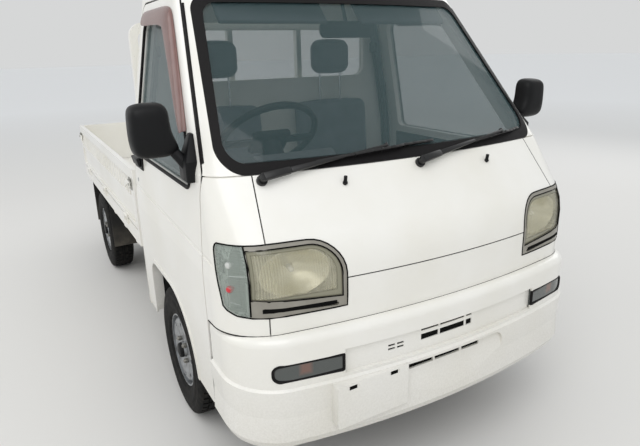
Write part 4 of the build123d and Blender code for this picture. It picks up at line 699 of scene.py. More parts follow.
chrome_mat = start_material("chromed_rod", "#c9cacc", 0.14, Metallic=1.0)[0]
seams = ((-0.62, 0.035), (0.62, 0.035))
# Name, node, edge radius, crown, seams, fill, lean, lower and upper corner from the seat's middle line
seat_forms = (
    ("seat_cushion", "seat_cushions", 0.034, 0.008, seams, 0.8, 0,
     (0.518, -0.215, 0.788), (0.968, 0.215, 0.890)),
    ("seat_back", "seat_backs", 0.034, 0.010, seams, 0.8, -5,
     (0.405, -0.205, 0.80), (0.480, 0.205, 1.205)),
    ("headrest", "seat_backs", 0.0395, 0.008, (), 0.9, 0,
     (0.366, -0.105, 1.348), (0.446, 0.105, 1.500)),
)
recliner = Vector((0.44, 0, 0.79))
for seat_y, word in ((0.290, "left"), (-0.320, "right")):
    middle = Vector((0, seat_y, 0))
    for name, node, edge, crown, channels, fill, lean, low, high in seat_forms:
        low, high = middle + Vector(low), middle + Vector(high)
        form = cushion(f"{name}_{word}", low, high, edge, crown, channels, cloth_mat)
        if lean:
            turn = Matrix.Rotation(math.radians(lean), 4, "Y")
            form.data.transform(Matrix.Translation(recliner) @ turn @ Matrix.Translation(-recliner))
        hand_over(form, "truck", "seat_cloth", node)
    rods = []
    for y in (seat_y - 0.06, seat_y + 0.06):
        rods.append(bead("rod", [(0.404, y, 1.175), (0.404, y, 1.27), (0.406, y, 1.365)], 0.0055, chrome_mat))
    hand_over(joined(f"headrest_rods_{word}", rods), "truck", "exhaust_steel")

# Cab linings: two padded charcoal sun visors folded up behind the windscreen's head, and the moulded
# covers of the door pillars with a black webbing belt down each, drawn as a round run
trim_mat, tree, shader, place, _ = mottled("charcoal_lining", "#45484b", "#5a5e62", 0.8, 7.0, 4.0)
# Pressed grain about 3 mm across
relief(tree, shader, place, "TexVoronoi", 330.0, 0.15, 0.0004)
belt_mat, tree, shader, place = start_material("belt_webbing", "#1c1e21", 0.8, Sheen_Weight=0.2)
# Webbing ribs 6 mm apart
relief(tree, shader, place, "TexWave", 53.0, 0.3, 0.0005, bands_direction="X")
pillar_x, pillar_foot, pillar_head = 0.375, 0.80, 1.60
# How far the covers and the belts stand inside the pillar, and the belts ahead of its middle
cover_in, belt_in, belt_ahead = 0.004, 0.031, 0.012
linings = []
for side in (1, -1):
    board = rounded_block("sun_visor", (0.0, 0.075, -0.009), (0.145, 0.505, 0.009), trim_mat, 0.008, 4)
    board.data.transform(Matrix.Translation((0.915, 0, 1.66)) @ Matrix.Rotation(math.radians(48), 4, "Y"))
    linings.append(other_side(board) if side < 0 else board)
    rungs = spaced((pillar_x, pillar_foot), (pillar_x, pillar_head), 6)
    column = [on_inside(x, z, side, "cab_sides")[0] for x, z in rungs]
    cover = bead("pillar_cover", [c - Vector((0, side * cover_in, 0)) for c in column], 0.024, trim_mat)
    beside = Vector((-belt_ahead, side * belt_in, 0))
    belt = bead("belt", [c - beside for c in column[1:6]], 0.0105, belt_mat)
    guide = rounded_block("belt_guide", (0.355, -0.010, -0.028), (0.415, 0.010, 0.022), plastic_mat, 0.006)
    guide.data.transform(Matrix.Translation((0, column[5].y - side * belt_in, column[5].z)))
    linings += [cover, belt, guide]
hand_over(joined("cab_linings", linings), "truck", "black_plastic")

# Dashboard: grey plastic moulded in one with a fine leather grain and a hood before the driver, and
# screwed to the bulkhead
dash_mat, tree, shader, place, _ = mottled("grained_dash_plastic", "#4c4e51", "#616366", 0.72, 6.0, 4.0)
# Grain about 3 mm across, faint enough not to sparkle through the glass
relief(tree, shader, place, "TexVoronoi", 320.0, 0.12, 0.0003)
dress(dash_mat, "dashboard")

# Steering wheel: black moulded rim over a steel ring, two spokes across and one down, and a soft
# pad over the boss.
wheel_mid = Vector((1.032, -0.350, 1.145))
tilt = Matrix.Translation(wheel_mid) @ Matrix.Rotation(math.radians(-45), 4, "Y")
bpy.ops.object.select_all(action="DESELECT")
bpy.ops.mesh.primitive_torus_add(
    major_segments=72, minor_segments=14, major_radius=0.185, minor_radius=0.0128
)
grip = bpy.context.object
grip.data.materials.append(plastic_mat)
bpy.ops.object.shade_smooth()
spokes = [
    rounded_block("boss_pad", (-0.062, -0.075, -0.026), (0.050, 0.075, 0.006), plastic_mat, 0.014, 4),
    grip,
    rounded_block("spoke", (-0.024, -0.178, -0.012), (0.012, 0.178, -0.001), plastic_mat, 0.004),
    rounded_block("spoke", (-0.178, -0.016, -0.012), (0.0, 0.016, -0.001), plastic_mat, 0.004),
]
hub = cylinder(32, 0.040, 0.018, (0, 0, -0.020), (0, 0, 0), plastic_mat)
edge_modifier(hub, 0.004)
steering = joined("steering_wheel_black", [*spokes, hub])
steering.data.transform(tilt)
hand_over(steering, "steering_wheel", "black_plastic", "steering_wheel")

# Wheels and tyres: 12 inch van tyres with a ribbed tread and open shoulder lugs, on silver pressed
# steel wheels held by four nuts, with a black grease cap.
tyre_mat, tree, shader, _, scuff = mottled(
    "tyre_rubber", "#101010", "#35312c", 0.82, 45.0, 6.0, (0.42, 0.72, 0.45), Specular_IOR_Level=0.25
)
feed(shader, {"Normal": add_node(tree, "Bump", {"Height": scuff, "Strength": 0.15, "Distance": 0.001})})
# Half of the tyre's section from the bead outwards: radius, distance from the middle plane
tyre_half = (
    (0.1524, 0.050), (0.1524, 0.0565), (0.158, 0.0585), (0.163, 0.0625), (0.1665, 0.0645), (0.172, 0.0665),
    (0.175, 0.0663), (0.190, 0.0705), (0.205, 0.0725), (0.216, 0.0728), (0.219, 0.0712), (0.234, 0.0690),
    (0.237, 0.0700), (0.247, 0.0672), (0.256, 0.0640), (0.2625, 0.0608), (0.2668, 0.0545), (0.2688, 0.0470),
    (0.2698, 0.0340), (0.2640, 0.0330), (0.2640, 0.0285), (0.2704, 0.0275), (0.2708, 0.0110),
    (0.2648, 0.0100), (0.2648, 0.0055), (0.2710, 0.0045),
)
tyre_points = [(d, r) for r, d in tyre_half] + [(-d, r) for r, d in reversed(tyre_half)]
tyre_points.append(tyre_points[0])
tread_steps = 156


def spun(name, points, steps, material, upright=False):
    """A section turned about the Y axis, or upright about Z: points are distance along it, radius."""
    verts = [(r, 0, d) if upright else (0, d, r) for d, r in points]
    piece = from_points(name, verts, [(i, i + 1) for i in range(len(points) - 1)], [], material)
    axis = (0, 0, 1) if upright else (0, 1, 0)
    bpy.ops.mesh.spin(steps=steps, angle=math.tau, center=(0, 0, 0), axis=axis)
    bpy.ops.mesh.select_all(action="SELECT")
    bpy.ops.mesh.remove_doubles(threshold=0.00005)
    bpy.ops.mesh.normals_make_consistent(inside=False)
    return piece


tyre = spun("tyre", tyre_points, tread_steps, tyre_mat)


# Lowest tread radius, the shoulder's two edges and the rib's, out from the tyre's middle plane
tread_foot = 0.2655
shoulder_inner, shoulder_outer, rib_inner, rib_outer = 0.0345, 0.056, 0.0115, 0.0275


def lug_gap(centre, normal):
    """Tread faces in the gaps: every third step round on the shoulder, every sixth on the rib."""
    radius = math.hypot(centre.x, centre.z)
    out = abs(centre.y)
    step = math.floor((math.atan2(centre.z, centre.x) / math.tau % 1.0) * tread_steps)
    if radius < tread_foot or out > shoulder_outer:
        return False
    if out > shoulder_inner:
        return (step + (1 if centre.y > 0 else 0)) % 3 == 0
    return rib_inner < out < rib_outer and (step + 1) % 6 == 0


pick_faces(tyre, lug_gap)
bpy.ops.mesh.extrude_region_shrink_fatten(TRANSFORM_OT_shrink_fatten={"value": -0.0052})
bpy.ops.object.mode_set(mode="OBJECT")
select_only(tyre)
bpy.ops.object.shade_smooth_by_angle(angle=math.radians(32))

rim_mat = mottled("wheel_silver", "#a3a6a9", "#4f4a42", 0.36, 30.0, 6.0, (0.45, 0.75, 0.7), Metallic=0.7)[0]
dress(rim_mat, "rim_front_left", "rim_front_right", "rim_rear_left", "rim_rear_right")
nut_mat = start_material("zinc_nuts", "#8b8983", 0.4, Metallic=0.9)[0]
nut_circle = 0.05
fittings = []
for k in range(4):
    angle = math.radians(45 + 90 * k)
    nut_place = (nut_circle * math.cos(angle), 0.055, nut_circle * math.sin(angle))
    nut = cylinder(6, 0.0112, 0.016, nut_place, across_truck, nut_mat)
    bpy.ops.object.mode_set(mode="EDIT")
    pick_faces(nut, lambda c, n: n.y > 0.9)
    bpy.ops.mesh.inset(thickness=0.0022)
    bpy.ops.mesh.extrude_region_move(TRANSFORM_OT_translate={"value": (0, 0.004, 0)})
    bpy.ops.transform.resize(value=(0.6, 1, 0.6))
    edge_modifier(nut, 0.0016, 2)
    fittings.append(nut)
cap = spun(
    "grease_cap",
    [(0.0475, 0.0332), (0.0475, 0.0318), (0.064, 0.0310), (0.0705, 0.0285), (0.0735, 0.022), (0.0745, 0.0)],
    40,
    plastic_mat,
)
edge_modifier(cap, 0.0003, 1)
wheel_fittings = joined("wheel_fittings", [*fittings, cap])
hub_height, hub_out = 0.271, 0.652
for end, x in (("front", 0.85), ("rear", -1.05)):
    for side, word in both_sides:
        turn = Matrix.Rotation(0 if side > 0 else math.pi, 4, "Z")
        stand = Matrix.Translation((x, side * hub_out, hub_height)) @ turn
        tread = own_copy(tyre, f"tyre_tread_{end}_{word}")
        tread.data.transform(stand)
        hand_over(tread, f"wheel_{end}_{word}", "tyre", f"tyre_{end}_{word}")
        nuts = own_copy(wheel_fittings, f"wheel_nuts_{end}_{word}")
        nuts.data.transform(stand)
        hand_over(nuts, f"wheel_{end}_{word}", "wheel_silver")
# The spare, lying flat on its steel wheel under the tail
spare_x = -1.415
spare_turn = Matrix.Rotation(math.pi / 2, 4, "X")
spare = tyre
spare.name = "spare_tyre"
spare.data.transform(Matrix.Translation((spare_x, 0, 0.367)) @ spare_turn)
spare_rim = spun(
    "spare_rim",
    [
        (-0.057, 0.1524), (0.057, 0.1524), (0.057, 0.1464), (0.010, 0.1455), (0.004, 0.126), (-0.004, 0.110),
        (0.0, 0.082), (0.002, 0.036), (-0.004, 0.034), (-0.006, 0.084), (-0.010, 0.110), (-0.002, 0.128),
        (-0.002, 0.1464), (-0.057, 0.1464), (-0.057, 0.1524),
    ],
    64,
    rim_mat,
)
bpy.ops.object.mode_set(mode="OBJECT")
bpy.ops.object.shade_smooth_by_angle(angle=math.radians(35))
spare_rim.data.transform(Matrix.Translation((spare_x, 0, 0.360)) @ spare_turn)
for piece in (spare, spare_rim):
    hand_over(piece, "truck", "tyre", "spare_wheel")
bpy.data.objects.remove(wheel_fittings)

# Headlamps: a yellowed, fluted polycarbonate lens sunk in a stone-grey moulded bezel, an aluminised
# reflector with its bulb behind it, and a clear corner lens over a grey pocket with two bulbs. A black
# foam gasket closes the gap to the painted panels.
# The same black foam also draws painted shade: the shadow line round each lens, the slot under it, the backing
# behind the bumper's slots and the patches behind the plate's screw holes.
foam_and_shade_mat, tree, shader, place = start_material("gasket_foam_and_painted_shade", "#0b0b0a", 0.85, Specular_IOR_Level=0.1)
# Foam cells about 1 mm across
relief(tree, shader, place, "TexNoise", 900.0, 0.3, 0.0004, {"Detail": 2.0})
bezel_mat = mottled("bezel_stone_grey", "#9a968c", "#7b776d", 0.38, 22.0, 5.0, Coat_Weight=0.2)[0]
dress(bezel_mat, "headlamp_bezels")

# Lens: flutes 8 mm apart across its outer and inner thirds, faint between them, with a yellow haze
# worked into the surface by the sun and pale cream patches of painted highlight for the reflector's shine
lens_mat, tree, shader, place = start_material("yellowed_polycarbonate", "#c6c096", 0.1, Coat_Weight=0.4)
flutes = add_node(tree, "TexWave", {"Vector": place, "Scale": 40.0}, bands_direction="Y", wave_profile="SIN")
lens_centre = 0.52
lens_inner, lens_outer, lens_foot, lens_top = 0.410, 0.648, 0.774, 0.9035
arc_mid_y, arc_mid_z, arc_radius = 0.484, 0.8295, 0.074
parts = add_node(tree, "SeparateXYZ", {0: place})
out = add_node(tree, "Math", {0: parts.outputs["Y"]}, operation="ABSOLUTE")
up = parts.outputs["Z"]
from_centre = add_node(tree, "Math", {0: out, 1: lens_centre}, operation="SUBTRACT")
off_centre = add_node(tree, "Math", {0: from_centre}, operation="ABSOLUTE")
edge_band = add_node(tree, "MapRange", {"Value": off_centre, 1: 0.03, 2: 0.08, 3: 0.15, 4: 1.0})
ridges = add_node(tree, "Math", {0: flutes.outputs["Fac"], 1: edge_band}, operation="MULTIPLY")
bump = add_node(tree, "Bump", {"Height": ridges, "Strength": 0.3, "Distance": 0.0008})
# Pale cream noise patches over the yellowed tone: painted highlights
yellowing_and_highlights = add_node(tree, "TexNoise", {"Vector": place, "Scale": 14.0, "Detail": 3.0})
lens_colour = add_node(tree, "Mix", {"Factor": yellowing_and_highlights, "A": "#b5b094", "B": "#e9e5cf"}, data_type="RGBA")
cover = add_node(tree, "MapRange", {"Value": ridges, 3: 0.26, 4: 0.42})
# The moulded rim is not clear. A point's way outside the clear window is the most that it lies past
# the arc of the upper inner corner or past one of the four sides.
arc_parts = {}
for axis, a, b in (("X", arc_mid_y, out), ("Y", up, arc_mid_z)):
    past = add_node(tree, "Math", {0: a, 1: b}, operation="SUBTRACT")
    arc_parts[axis] = add_node(tree, "Math", {0: past, 1: 0.0}, operation="MAXIMUM")
spoke = add_node(tree, "CombineXYZ", arc_parts)
spoke_length = add_node(tree, "VectorMath", {0: spoke}, operation="LENGTH")
outside = add_node(tree, "Math", {0: spoke_length, 1: arc_radius}, operation="SUBTRACT")
for a, b in ((lens_inner, out), (out, lens_outer), (lens_foot, up), (up, lens_top)):
    past = add_node(tree, "Math", {0: a, 1: b}, operation="SUBTRACT")
    outside = add_node(tree, "Math", {0: outside, 1: past}, operation="MAXIMUM")
rim = add_node(tree, "MapRange", {"Value": outside, 1: -0.0008, 2: 0.0008})
dark_edge = add_node(tree, "MapRange", {"Value": outside, 1: 0.0008, 2: 0.004, 3: 1.0, 4: 0.0})
rim_colour = add_node(tree, "Mix", {"Factor": dark_edge, "A": "#8b8874", "B": "#6c6955"}, data_type="RGBA")
rimmed = add_node(tree, "Mix", {"Factor": rim, "A": lens_colour, "B": rim_colour}, data_type="RGBA")
solid = add_node(tree, "Math", {0: cover, 1: rim}, operation="MAXIMUM")
feed(shader, {"Base Color": rimmed, "Alpha": solid, "Normal": bump})
dress(lens_mat, "headlamp_lenses")

corner_mat, tree, shader, place = start_material("clear_polycarbonate", "#a3aca4", 0.07, Coat_Weight=0.3)
# Horizontal flutes 8 mm apart on the inner face
ribs = relief(tree, shader, place, "TexWave", 40.0, 0.15, 0.0008, bands_direction="Z", wave_profile="SIN")
cover = add_node(tree, "MapRange", {"Value": ribs.outputs["Fac"], 3: 0.3, 4: 0.4})
feed(shader, {"Alpha": cover})
dress(corner_mat, "corner_lenses")

# Housing: aluminised bowl inboard of the split, its colour broken into pale cream patches of painted
# reflection, and plain grey-green moulding in the corner
split_y = 0.661
housing_mat, tree, shader, place = start_material("aluminised_housing", "#a9a690", 0.3)
sideways = add_node(tree, "SeparateXYZ", {0: place}).outputs["Y"]
out = add_node(tree, "Math", {0: sideways}, operation="ABSOLUTE")
in_corner = add_node(tree, "Math", {0: out, 1: split_y}, operation="GREATER_THAN")
# Pale cream patches on the bowl: painted reflections
glint_noise = add_node(tree, "TexNoise", {"Vector": place, "Scale": 24.0, "Detail": 1.0})
painted_glints = add_node(tree, "MapRange", {"Value": glint_noise, 1: 0.42, 2: 0.6})
bowl_colour = add_node(tree, "Mix", {"Factor": painted_glints, "A": "#9b957c", "B": "#efe9cd"}, data_type="RGBA")
housing_colour = add_node(
    tree, "Mix", {"Factor": in_corner, "A": bowl_colour, "B": "#a3aba3"}, data_type="RGBA"
)
shine = add_node(tree, "MapRange", {"Value": in_corner, 3: 0.3, 4: 0.0})
feed(shader, {"Base Color": housing_colour, "Metallic": shine})
dress(housing_mat, "headlamp_housings")

mirror_coat = start_material("vacuum_aluminium", "#ddd8c0", 0.3, Metallic=0.9)[0]
bulb_mat = start_material("bulb_glass", "#f2f2ee", 0.05, Alpha=0.55, Coat_Weight=0.6)[0]
red_bulb_mat = start_material("red_dipped_bulb", "#c81f2c", 0.12, Coat_Weight=0.6)[0]


def round_corner(angle, z, side, *names):
    """The outermost point of the nose at a height, where a spoke from inside the cab's corner leaves it."""
    hub = Vector((1.20, side * 0.30, z))
    spoke = Vector((math.cos(math.radians(angle)), side * math.sin(math.radians(angle)), 0))
    return first_hit(hub + spoke, -spoke, names)


def spun_up(name, points, radius, steps, material):
    """A smooth section turned about the Z axis: points are share of the radius, height."""
    piece = spun(name, [(z, share * radius) for share, z in points], steps, material, upright=True)
    bpy.ops.object.mode_set(mode="OBJECT")
    bpy.ops.object.shade_smooth_by_angle(angle=math.radians(40))
    return piece


def bulb(name, place, ahead, radius, material):
    """A small glass bulb on its metal cap, pointing the way it is given."""
    glass = ((0.0, -0.5), (0.62, -0.5), (0.72, 0.0), (1.0, 0.9), (0.9, 1.6), (0.55, 2.0), (0.0, 2.15))
    cap = ((0.0, -1.4), (0.8, -1.4), (0.8, -0.45), (0.0, -0.45))
    parts = []
    for outline, finish in ((glass, material), (cap, lock_mat)):
        scaled = [(share, radius * z) for share, z in outline]
        parts.append(spun_up(name, scaled, radius, 20, finish))
    lamp = joined(name, parts)
    turn = Vector(ahead).to_track_quat("Z", "Y").to_matrix().to_4x4()
    lamp.data.transform(Matrix.Translation(place) @ turn)
    return lamp


shelf_mat = start_material("moulded_shelf", "#e3e6e3", 0.2, Coat_Weight=0.4)[0]
lamp_panels = ("front_panel", "nose_panel", "corner_panels", "headlamp_bezels", "corner_lenses")
gasket_inner, gasket_arc, gasket_top = 0.379, 0.105, 0.930
# The gasket's heights round the corner; its foot falls forwards from the lamp's outer end
corner_foot, corner_top = 0.7185, 0.9305
outer_end_x, outer_end_z, foot_slope = 1.477, 0.735, 0.36
# Shadow line round the lens: its ends, its top and the arc of its upper inner corner
line_inner, line_outer, line_top, line_arc = 0.392, 0.662, 0.917, 0.092
behind_lens = 0.0085
lamp_mid_z = 0.834
on_lens = ("headlamp_bezels", "headlamp_lenses", "corner_lenses")
for side, word in both_sides:
    # Gasket all round the lamp, from the inner end's arc down, along the foot and up behind the corner lens
    ring = []
    for k in range(9):
        turn = math.radians(90 * k / 8)
        ring.append((
            gasket_inner + gasket_arc * (1 - math.sin(turn)), gasket_top - gasket_arc * (1 - math.cos(turn))
        ))
    ring += [(gasket_inner, 0.80), (gasket_inner, 0.75), (0.380, 0.717)]
    ring += [(y, 0.7165) for y in (0.42, 0.47, 0.52, 0.57, 0.62, 0.66)]
    round_lamp = front_row(side, ring, *lamp_panels)
    for angle in (49, 51, 53, 55):
        x = round_corner(angle, corner_foot, side, *lamp_panels)[0].x
        z = max(corner_foot, outer_end_z - (x - outer_end_x) * foot_slope)
        round_lamp.append(round_corner(angle, z, side, *lamp_panels)[0])
    rear_edge = (
        (1.4765, 0.742), (1.470, 0.775), (1.4625, 0.81), (1.4545, 0.85), (1.4465, 0.89), (1.4425, 0.909),
        (1.4425, 0.918), (1.4455, 0.9255), (1.4515, 0.930),
    )
    round_lamp += side_row(side, rear_edge, *lamp_panels)
    for angle in (57, 54, 51, 48, 45):
        round_lamp.append(round_corner(angle, corner_top, side, *lamp_panels)[0])
    round_lamp += front_row(side, [(y, corner_top) for y in (0.62, 0.57, 0.52)], *lamp_panels)
    gasket = bead(f"lamp_gasket_and_painted_shade_{word}", round_lamp, 0.0024, foam_and_shade_mat, closed=True)
    # Strip between headlamp and corner lens
    split_places = [(0.6645, z) for z in (0.928, 0.88, 0.83, 0.78, 0.722)]
    split = front_row(side, split_places, "headlamp_bezels", "corner_lenses")
    strip = bead(f"lamp_split_{word}", split, 0.0028, foam_and_shade_mat)
    # Shadow line where the lens sinks into the bezel
    arc = []
    for k in range(11):
        turn = math.radians(9 * k)
        arc.append((
            line_inner + line_arc * (1 - math.cos(turn)), line_top - line_arc * (1 - math.sin(turn))
        ))
    across = spaced((line_inner + line_arc, line_top), (line_outer, line_top), 5)[1:]
    down = [(line_outer, 0.87), (line_outer, 0.82), (line_outer, 0.771)]
    back = spaced((line_outer, 0.771), (line_inner, 0.7505), 6)[1:]
    sunk = Vector((0.0015, 0, 0))
    sink = [point - sunk for point in front_row(side, arc + across + down + back, *on_lens)]
    line = bead(f"lens_edge_{word}", sink, 0.0022, foam_and_shade_mat, closed=True)
    # Painted shade: a black bead in the slot under the lens, standing in for the slot's dark depth
    slot = []
    for y, z in spaced((0.413, 0.7345), (0.633, 0.7385), 8):
        bezel_face = on_front(side * y, 0.7495, "headlamp_bezels")[0]
        slot.append((bezel_face.x - 0.0062, side * y, z))
    slot_shade = bead(f"lamp_slot_{word}", slot, 0.0086, foam_and_shade_mat)
    # One piece: the gasket, the split strip, and the black beads of painted shade round the lens and in its
    # slot
    hand_over(joined(f"lamp_gasket_and_painted_shade_{word}", [gasket, strip, line, slot_shade]), "truck", "seal_rubber")
    shelf = []
    for angle in (47, 49, 51, 53, 55, 57):
        z = 0.843 - 0.012 * ((angle - 47) / 10) ** 2
        spot, normal = round_corner(angle, z, side, "corner_lenses")
        shelf.append(spot - normal * behind_lens)
    foot_rim = []
    for angle in (50, 52, 54, 56):
        spot, normal = round_corner(angle, 0.752 + 0.004 * (angle - 50) / 6, side, "corner_lenses")
        foot_rim.append(spot - normal * behind_lens)
    ledges = [bead("shelf", shelf, 0.0026, shelf_mat), bead("shelf", foot_rim, 0.0018, shelf_mat)]
    hand_over(joined(f"corner_shelf_{word}", ledges), "truck", "lamp_clear")

    # Reflector bowl and bulb behind the lens
    bowl = spun_up(
        "reflector",
        [(0.12, -0.046), (0.30, -0.043), (0.55, -0.030), (0.78, -0.009), (1.0, 0.018), (1.03, 0.018),
         (0.80, -0.012), (0.55, -0.034), (0.30, -0.047), (0.12, -0.050), (0.12, -0.046)],
        0.072, 48, mirror_coat,
    )
    bowl.data.transform(
        Matrix.Translation((1.548, side * lens_centre, lamp_mid_z))
        @ Matrix.Rotation(math.radians(side * 8), 4, "Z")
        @ Matrix.Rotation(math.radians(90), 4, "Y")
        @ Matrix.Diagonal((1, 1.5, 1, 1))
    )
    bulb_place = (1.522, side * lens_centre, lamp_mid_z)
    lamp_bulb = bulb("lamp_bulb", bulb_place, (1, side * 0.14, 0), 0.010, bulb_mat)
    hand_over(joined(f"reflector_{word}", [bowl, lamp_bulb]), "truck", "lamp_inner")
    outwards = (0.6, side * 0.8, 0)
    clear = bulb(f"corner_bulb_{word}", (1.488, side * 0.690, 0.872), outwards, 0.0115, bulb_mat)
    hand_over(clear, "truck", "lamp_clear")
    marker = bulb(f"marker_bulb_{word}", (1.488, side * 0.692, 0.797), outwards, 0.0115, red_bulb_mat)
    hand_over(marker, "truck", "lamp_red")

# Bumper lamps: a ribbed smoke-grey acrylic lens in a black rubber frame, screwed into the bumper, with
# an amber bulb cover behind it
bulb_y, bulb_z = 0.535, 0.556
smoke_mat, tree, shader, place = start_material("smoke_grey_acrylic", "#4c4f4c", 0.14, Coat_Weight=0.5)
# The amber cover glows through in a soft square round the bulb
parts = add_node(tree, "SeparateXYZ", {0: place})
sideways = add_node(tree, "Math", {0: parts.outputs["Y"]}, operation="ABSOLUTE")
reach = []
for measure, middle in ((sideways, bulb_y), (parts.outputs["Z"], bulb_z)):
    off = add_node(tree, "Math", {0: measure, 1: middle}, operation="SUBTRACT")
    reach.append(add_node(tree, "Math", {0: off}, operation="ABSOLUTE"))
glow_reach = add_node(tree, "Math", {0: reach[0], 1: reach[1]}, operation="MAXIMUM")
glow = add_node(tree, "MapRange", {"Value": glow_reach, 1: 0.010, 2: 0.024, 3: 0.5, 4: 0.0})
smoke_colour = add_node(tree, "Mix", {"Factor": glow, "A": "#484c4a", "B": "#8d5c4b"}, data_type="RGBA")
feed(shader, {"Base Color": smoke_colour})
# Moulded ribs 10 mm apart
relief(tree, shader, place, "TexWave", 32.0, 0.2, 0.0008, bands_direction="Y", wave_profile="SIN")
dress(smoke_mat, "bumper_lamps")
corners = [(0.4145, 0.5225), (0.6305, 0.5225), (0.6305, 0.5755), (0.4145, 0.5755)]
# Tight corners inboard, wide ones outboard
tight, wide = rounded_loop(corners, 0.005), rounded_loop(corners, 0.021)
frame_loop = tight[:7] + wide[7:21] + tight[21:]
for side, word in both_sides:
    bend = front_row(side, frame_loop, "bumper_lamps")
    lamp_frame = bead(f"bumper_lamp_frame_{word}", bend, 0.0052, rubber_mat, closed=True)
    hand_over(lamp_frame, "truck", "seal_rubber")

# Panel joints: dark sealer, brushed low into the grooves where the nose, corner and bumper panels
# meet, so that no daylight shows through them
joints = []
beside_groove, sealer_depth = 0.006, 0.001
for side in (1, -1):
    runs = (
        [(0.618, z) for z in (0.664, 0.69, 0.7155)],
        spaced((0.6055, 0.9325), (0.580, 1.1025), 6),
    )
    for run in runs:
        points = []
        for y, z in run:
            face = on_front(side * (y + beside_groove), z, "corner_panels", "nose_panel", "front_panel")[0]
            points.append(Vector((face.x - sealer_depth, side * y, z)))
        joints.append(bead("panel_joint", points, 0.0017, foam_and_shade_mat))
sunk = Vector((0.0022, 0, 0.006))
nose_places = spaced((-0.377, 0.812), (0.377, 0.812), 20)
nose_line = [point - sunk for point in front_row(1, nose_places, "front_panel")]
joints.append(bead("panel_joint", nose_line, 0.0016, foam_and_shade_mat))
bumper_line = []
bumper_hub = Vector((1.20, 0, 0.66))
# The bumper's top edge rises forwards from its end, and the sealer lies on it
bumper_end_x, top_edge_z, top_edge_slope, on_edge = 1.347, 0.6406, 0.0728, 0.0012
for k in range(-40, 41):
    angle = math.radians(2.0 * k)
    spoke = Vector((math.cos(angle), math.sin(angle), 0))
    spot = first_hit(bumper_hub + spoke * 1.2, -spoke, ("nose_panel", "corner_panels"))
    if spot and spot[0].x > 1.35:
        spot[0].z = top_edge_z + top_edge_slope * (spot[0].x - bumper_end_x) + on_edge
        bumper_line.append(spot[0])
joints.append(bead("panel_joint", bumper_line, 0.0021, foam_and_shade_mat))
hand_over(joined("panel_joints", joints), "truck", "seal_rubber")

# Bumper openings: a black block just behind each slot, painted shade standing in for the openings' dark depth,
# and a black seal down the gap between the bumper's end and the door
shade_and_seals = []
# Middle Y and Z, width and height of each opening: two split bands, the row under them, four small ones
slot_plan = []
for z, tall in ((0.581, 0.009), (0.554, 0.021)):
    slot_plan += [(-0.092, z, 0.072, tall), (0.004, z, 0.108, tall), (0.079, z, 0.026, tall)]
slot_plan += [(-0.128, 0.463, 0.106, 0.022), (-0.012, 0.463, 0.110, 0.022), (0.093, 0.463, 0.080, 0.022)]
slot_plan += [(y, z, 0.026, 0.007) for y in (-0.241, -0.208) for z in (0.556, 0.543)]
overlap, shade_start, shade_end = 0.001, 0.0035, 0.012
for y, z, wide, tall in slot_plan:
    # The bumper's face just over the opening
    face = on_front(y, z + tall / 2 + 0.002, "front_bumper")[0]
    low = (face.x - shade_end, y - wide / 2 - overlap, z - tall / 2 - overlap)
    high = (face.x - shade_start, y + wide / 2 + overlap, z + tall / 2 + overlap)
    shade_and_seals.append(rounded_block("slot_painted_shade", low, high, foam_and_shade_mat, 0.0008, 1))
for side in (1, -1):
    # The seal lies in the gap, a little inside the bumper's skin just ahead of it
    gap = []
    for point in side_row(side, spaced((1.354, 0.300), (1.354, 0.635), 8), "front_bumper"):
        gap.append(Vector((1.3437, point.y - side * 0.0035, point.z)))
    shade_and_seals.append(bead("bumper_end_seal", gap, 0.0028, foam_and_shade_mat))
hand_over(joined("bumper_shade_and_seals", shade_and_seals), "truck", "seal_rubber")

# Plate pad: a box moulded in one with the bumper and painted with it. It carries the bare front plate
# and has two flat black patches behind the plate's screw holes, painted shade for the holes' depth.
pad_front = 1.6952
pad = rounded_block("plate_pad", (1.650, -0.4595, 0.3475), (pad_front, -0.1965, 0.4905), body_paint, 0.006)
to_pad = Matrix.Translation((pad_front, 0, 0))
flatten = to_pad @ Matrix.Diagonal((0.12, 1, 1, 1)) @ to_pad.inverted()
hole_shades = []
slot_half, slot_z = 0.0135, 0.478
for y in (-0.405, -0.251):
    ends = [(pad_front, y - slot_half, slot_z), (pad_front, y + slot_half, slot_z)]
    slot = bead("plate_hole_shade", ends, 0.0085, foam_and_shade_mat)
    slot.data.transform(flatten)
    hole_shades.append(slot)
hand_over(joined("plate_pad", [pad, *hole_shades]), "truck", "paint")

# Weatherstrips: black rubber down each windscreen pillar beside the door, and a soft bulb seal deep in
# the gap round the door, except under it. Both are glued to the cab.
slant = Vector((0.435, 0.0, -0.545)).normalized()
outward = Vector((0.545, 0.0, 0.435)).normalized()
strip_head = Vector((0.905, 0, 1.650)) + outward * 0.0095 + slant * 0.05
strip_length, strip_gaps = 0.612, 11
# How far the bulb seal stands outside the door's edge and inside its skin
seal_out, seal_in = 0.0068, 0.0052
door_outline = ((0.4055, 0.335), (1.3365, 0.335), (1.3365, 1.110), (0.9055, 1.6465), (0.4055, 1.6465))
door_line = rounded_loop(door_outline, 0.045)
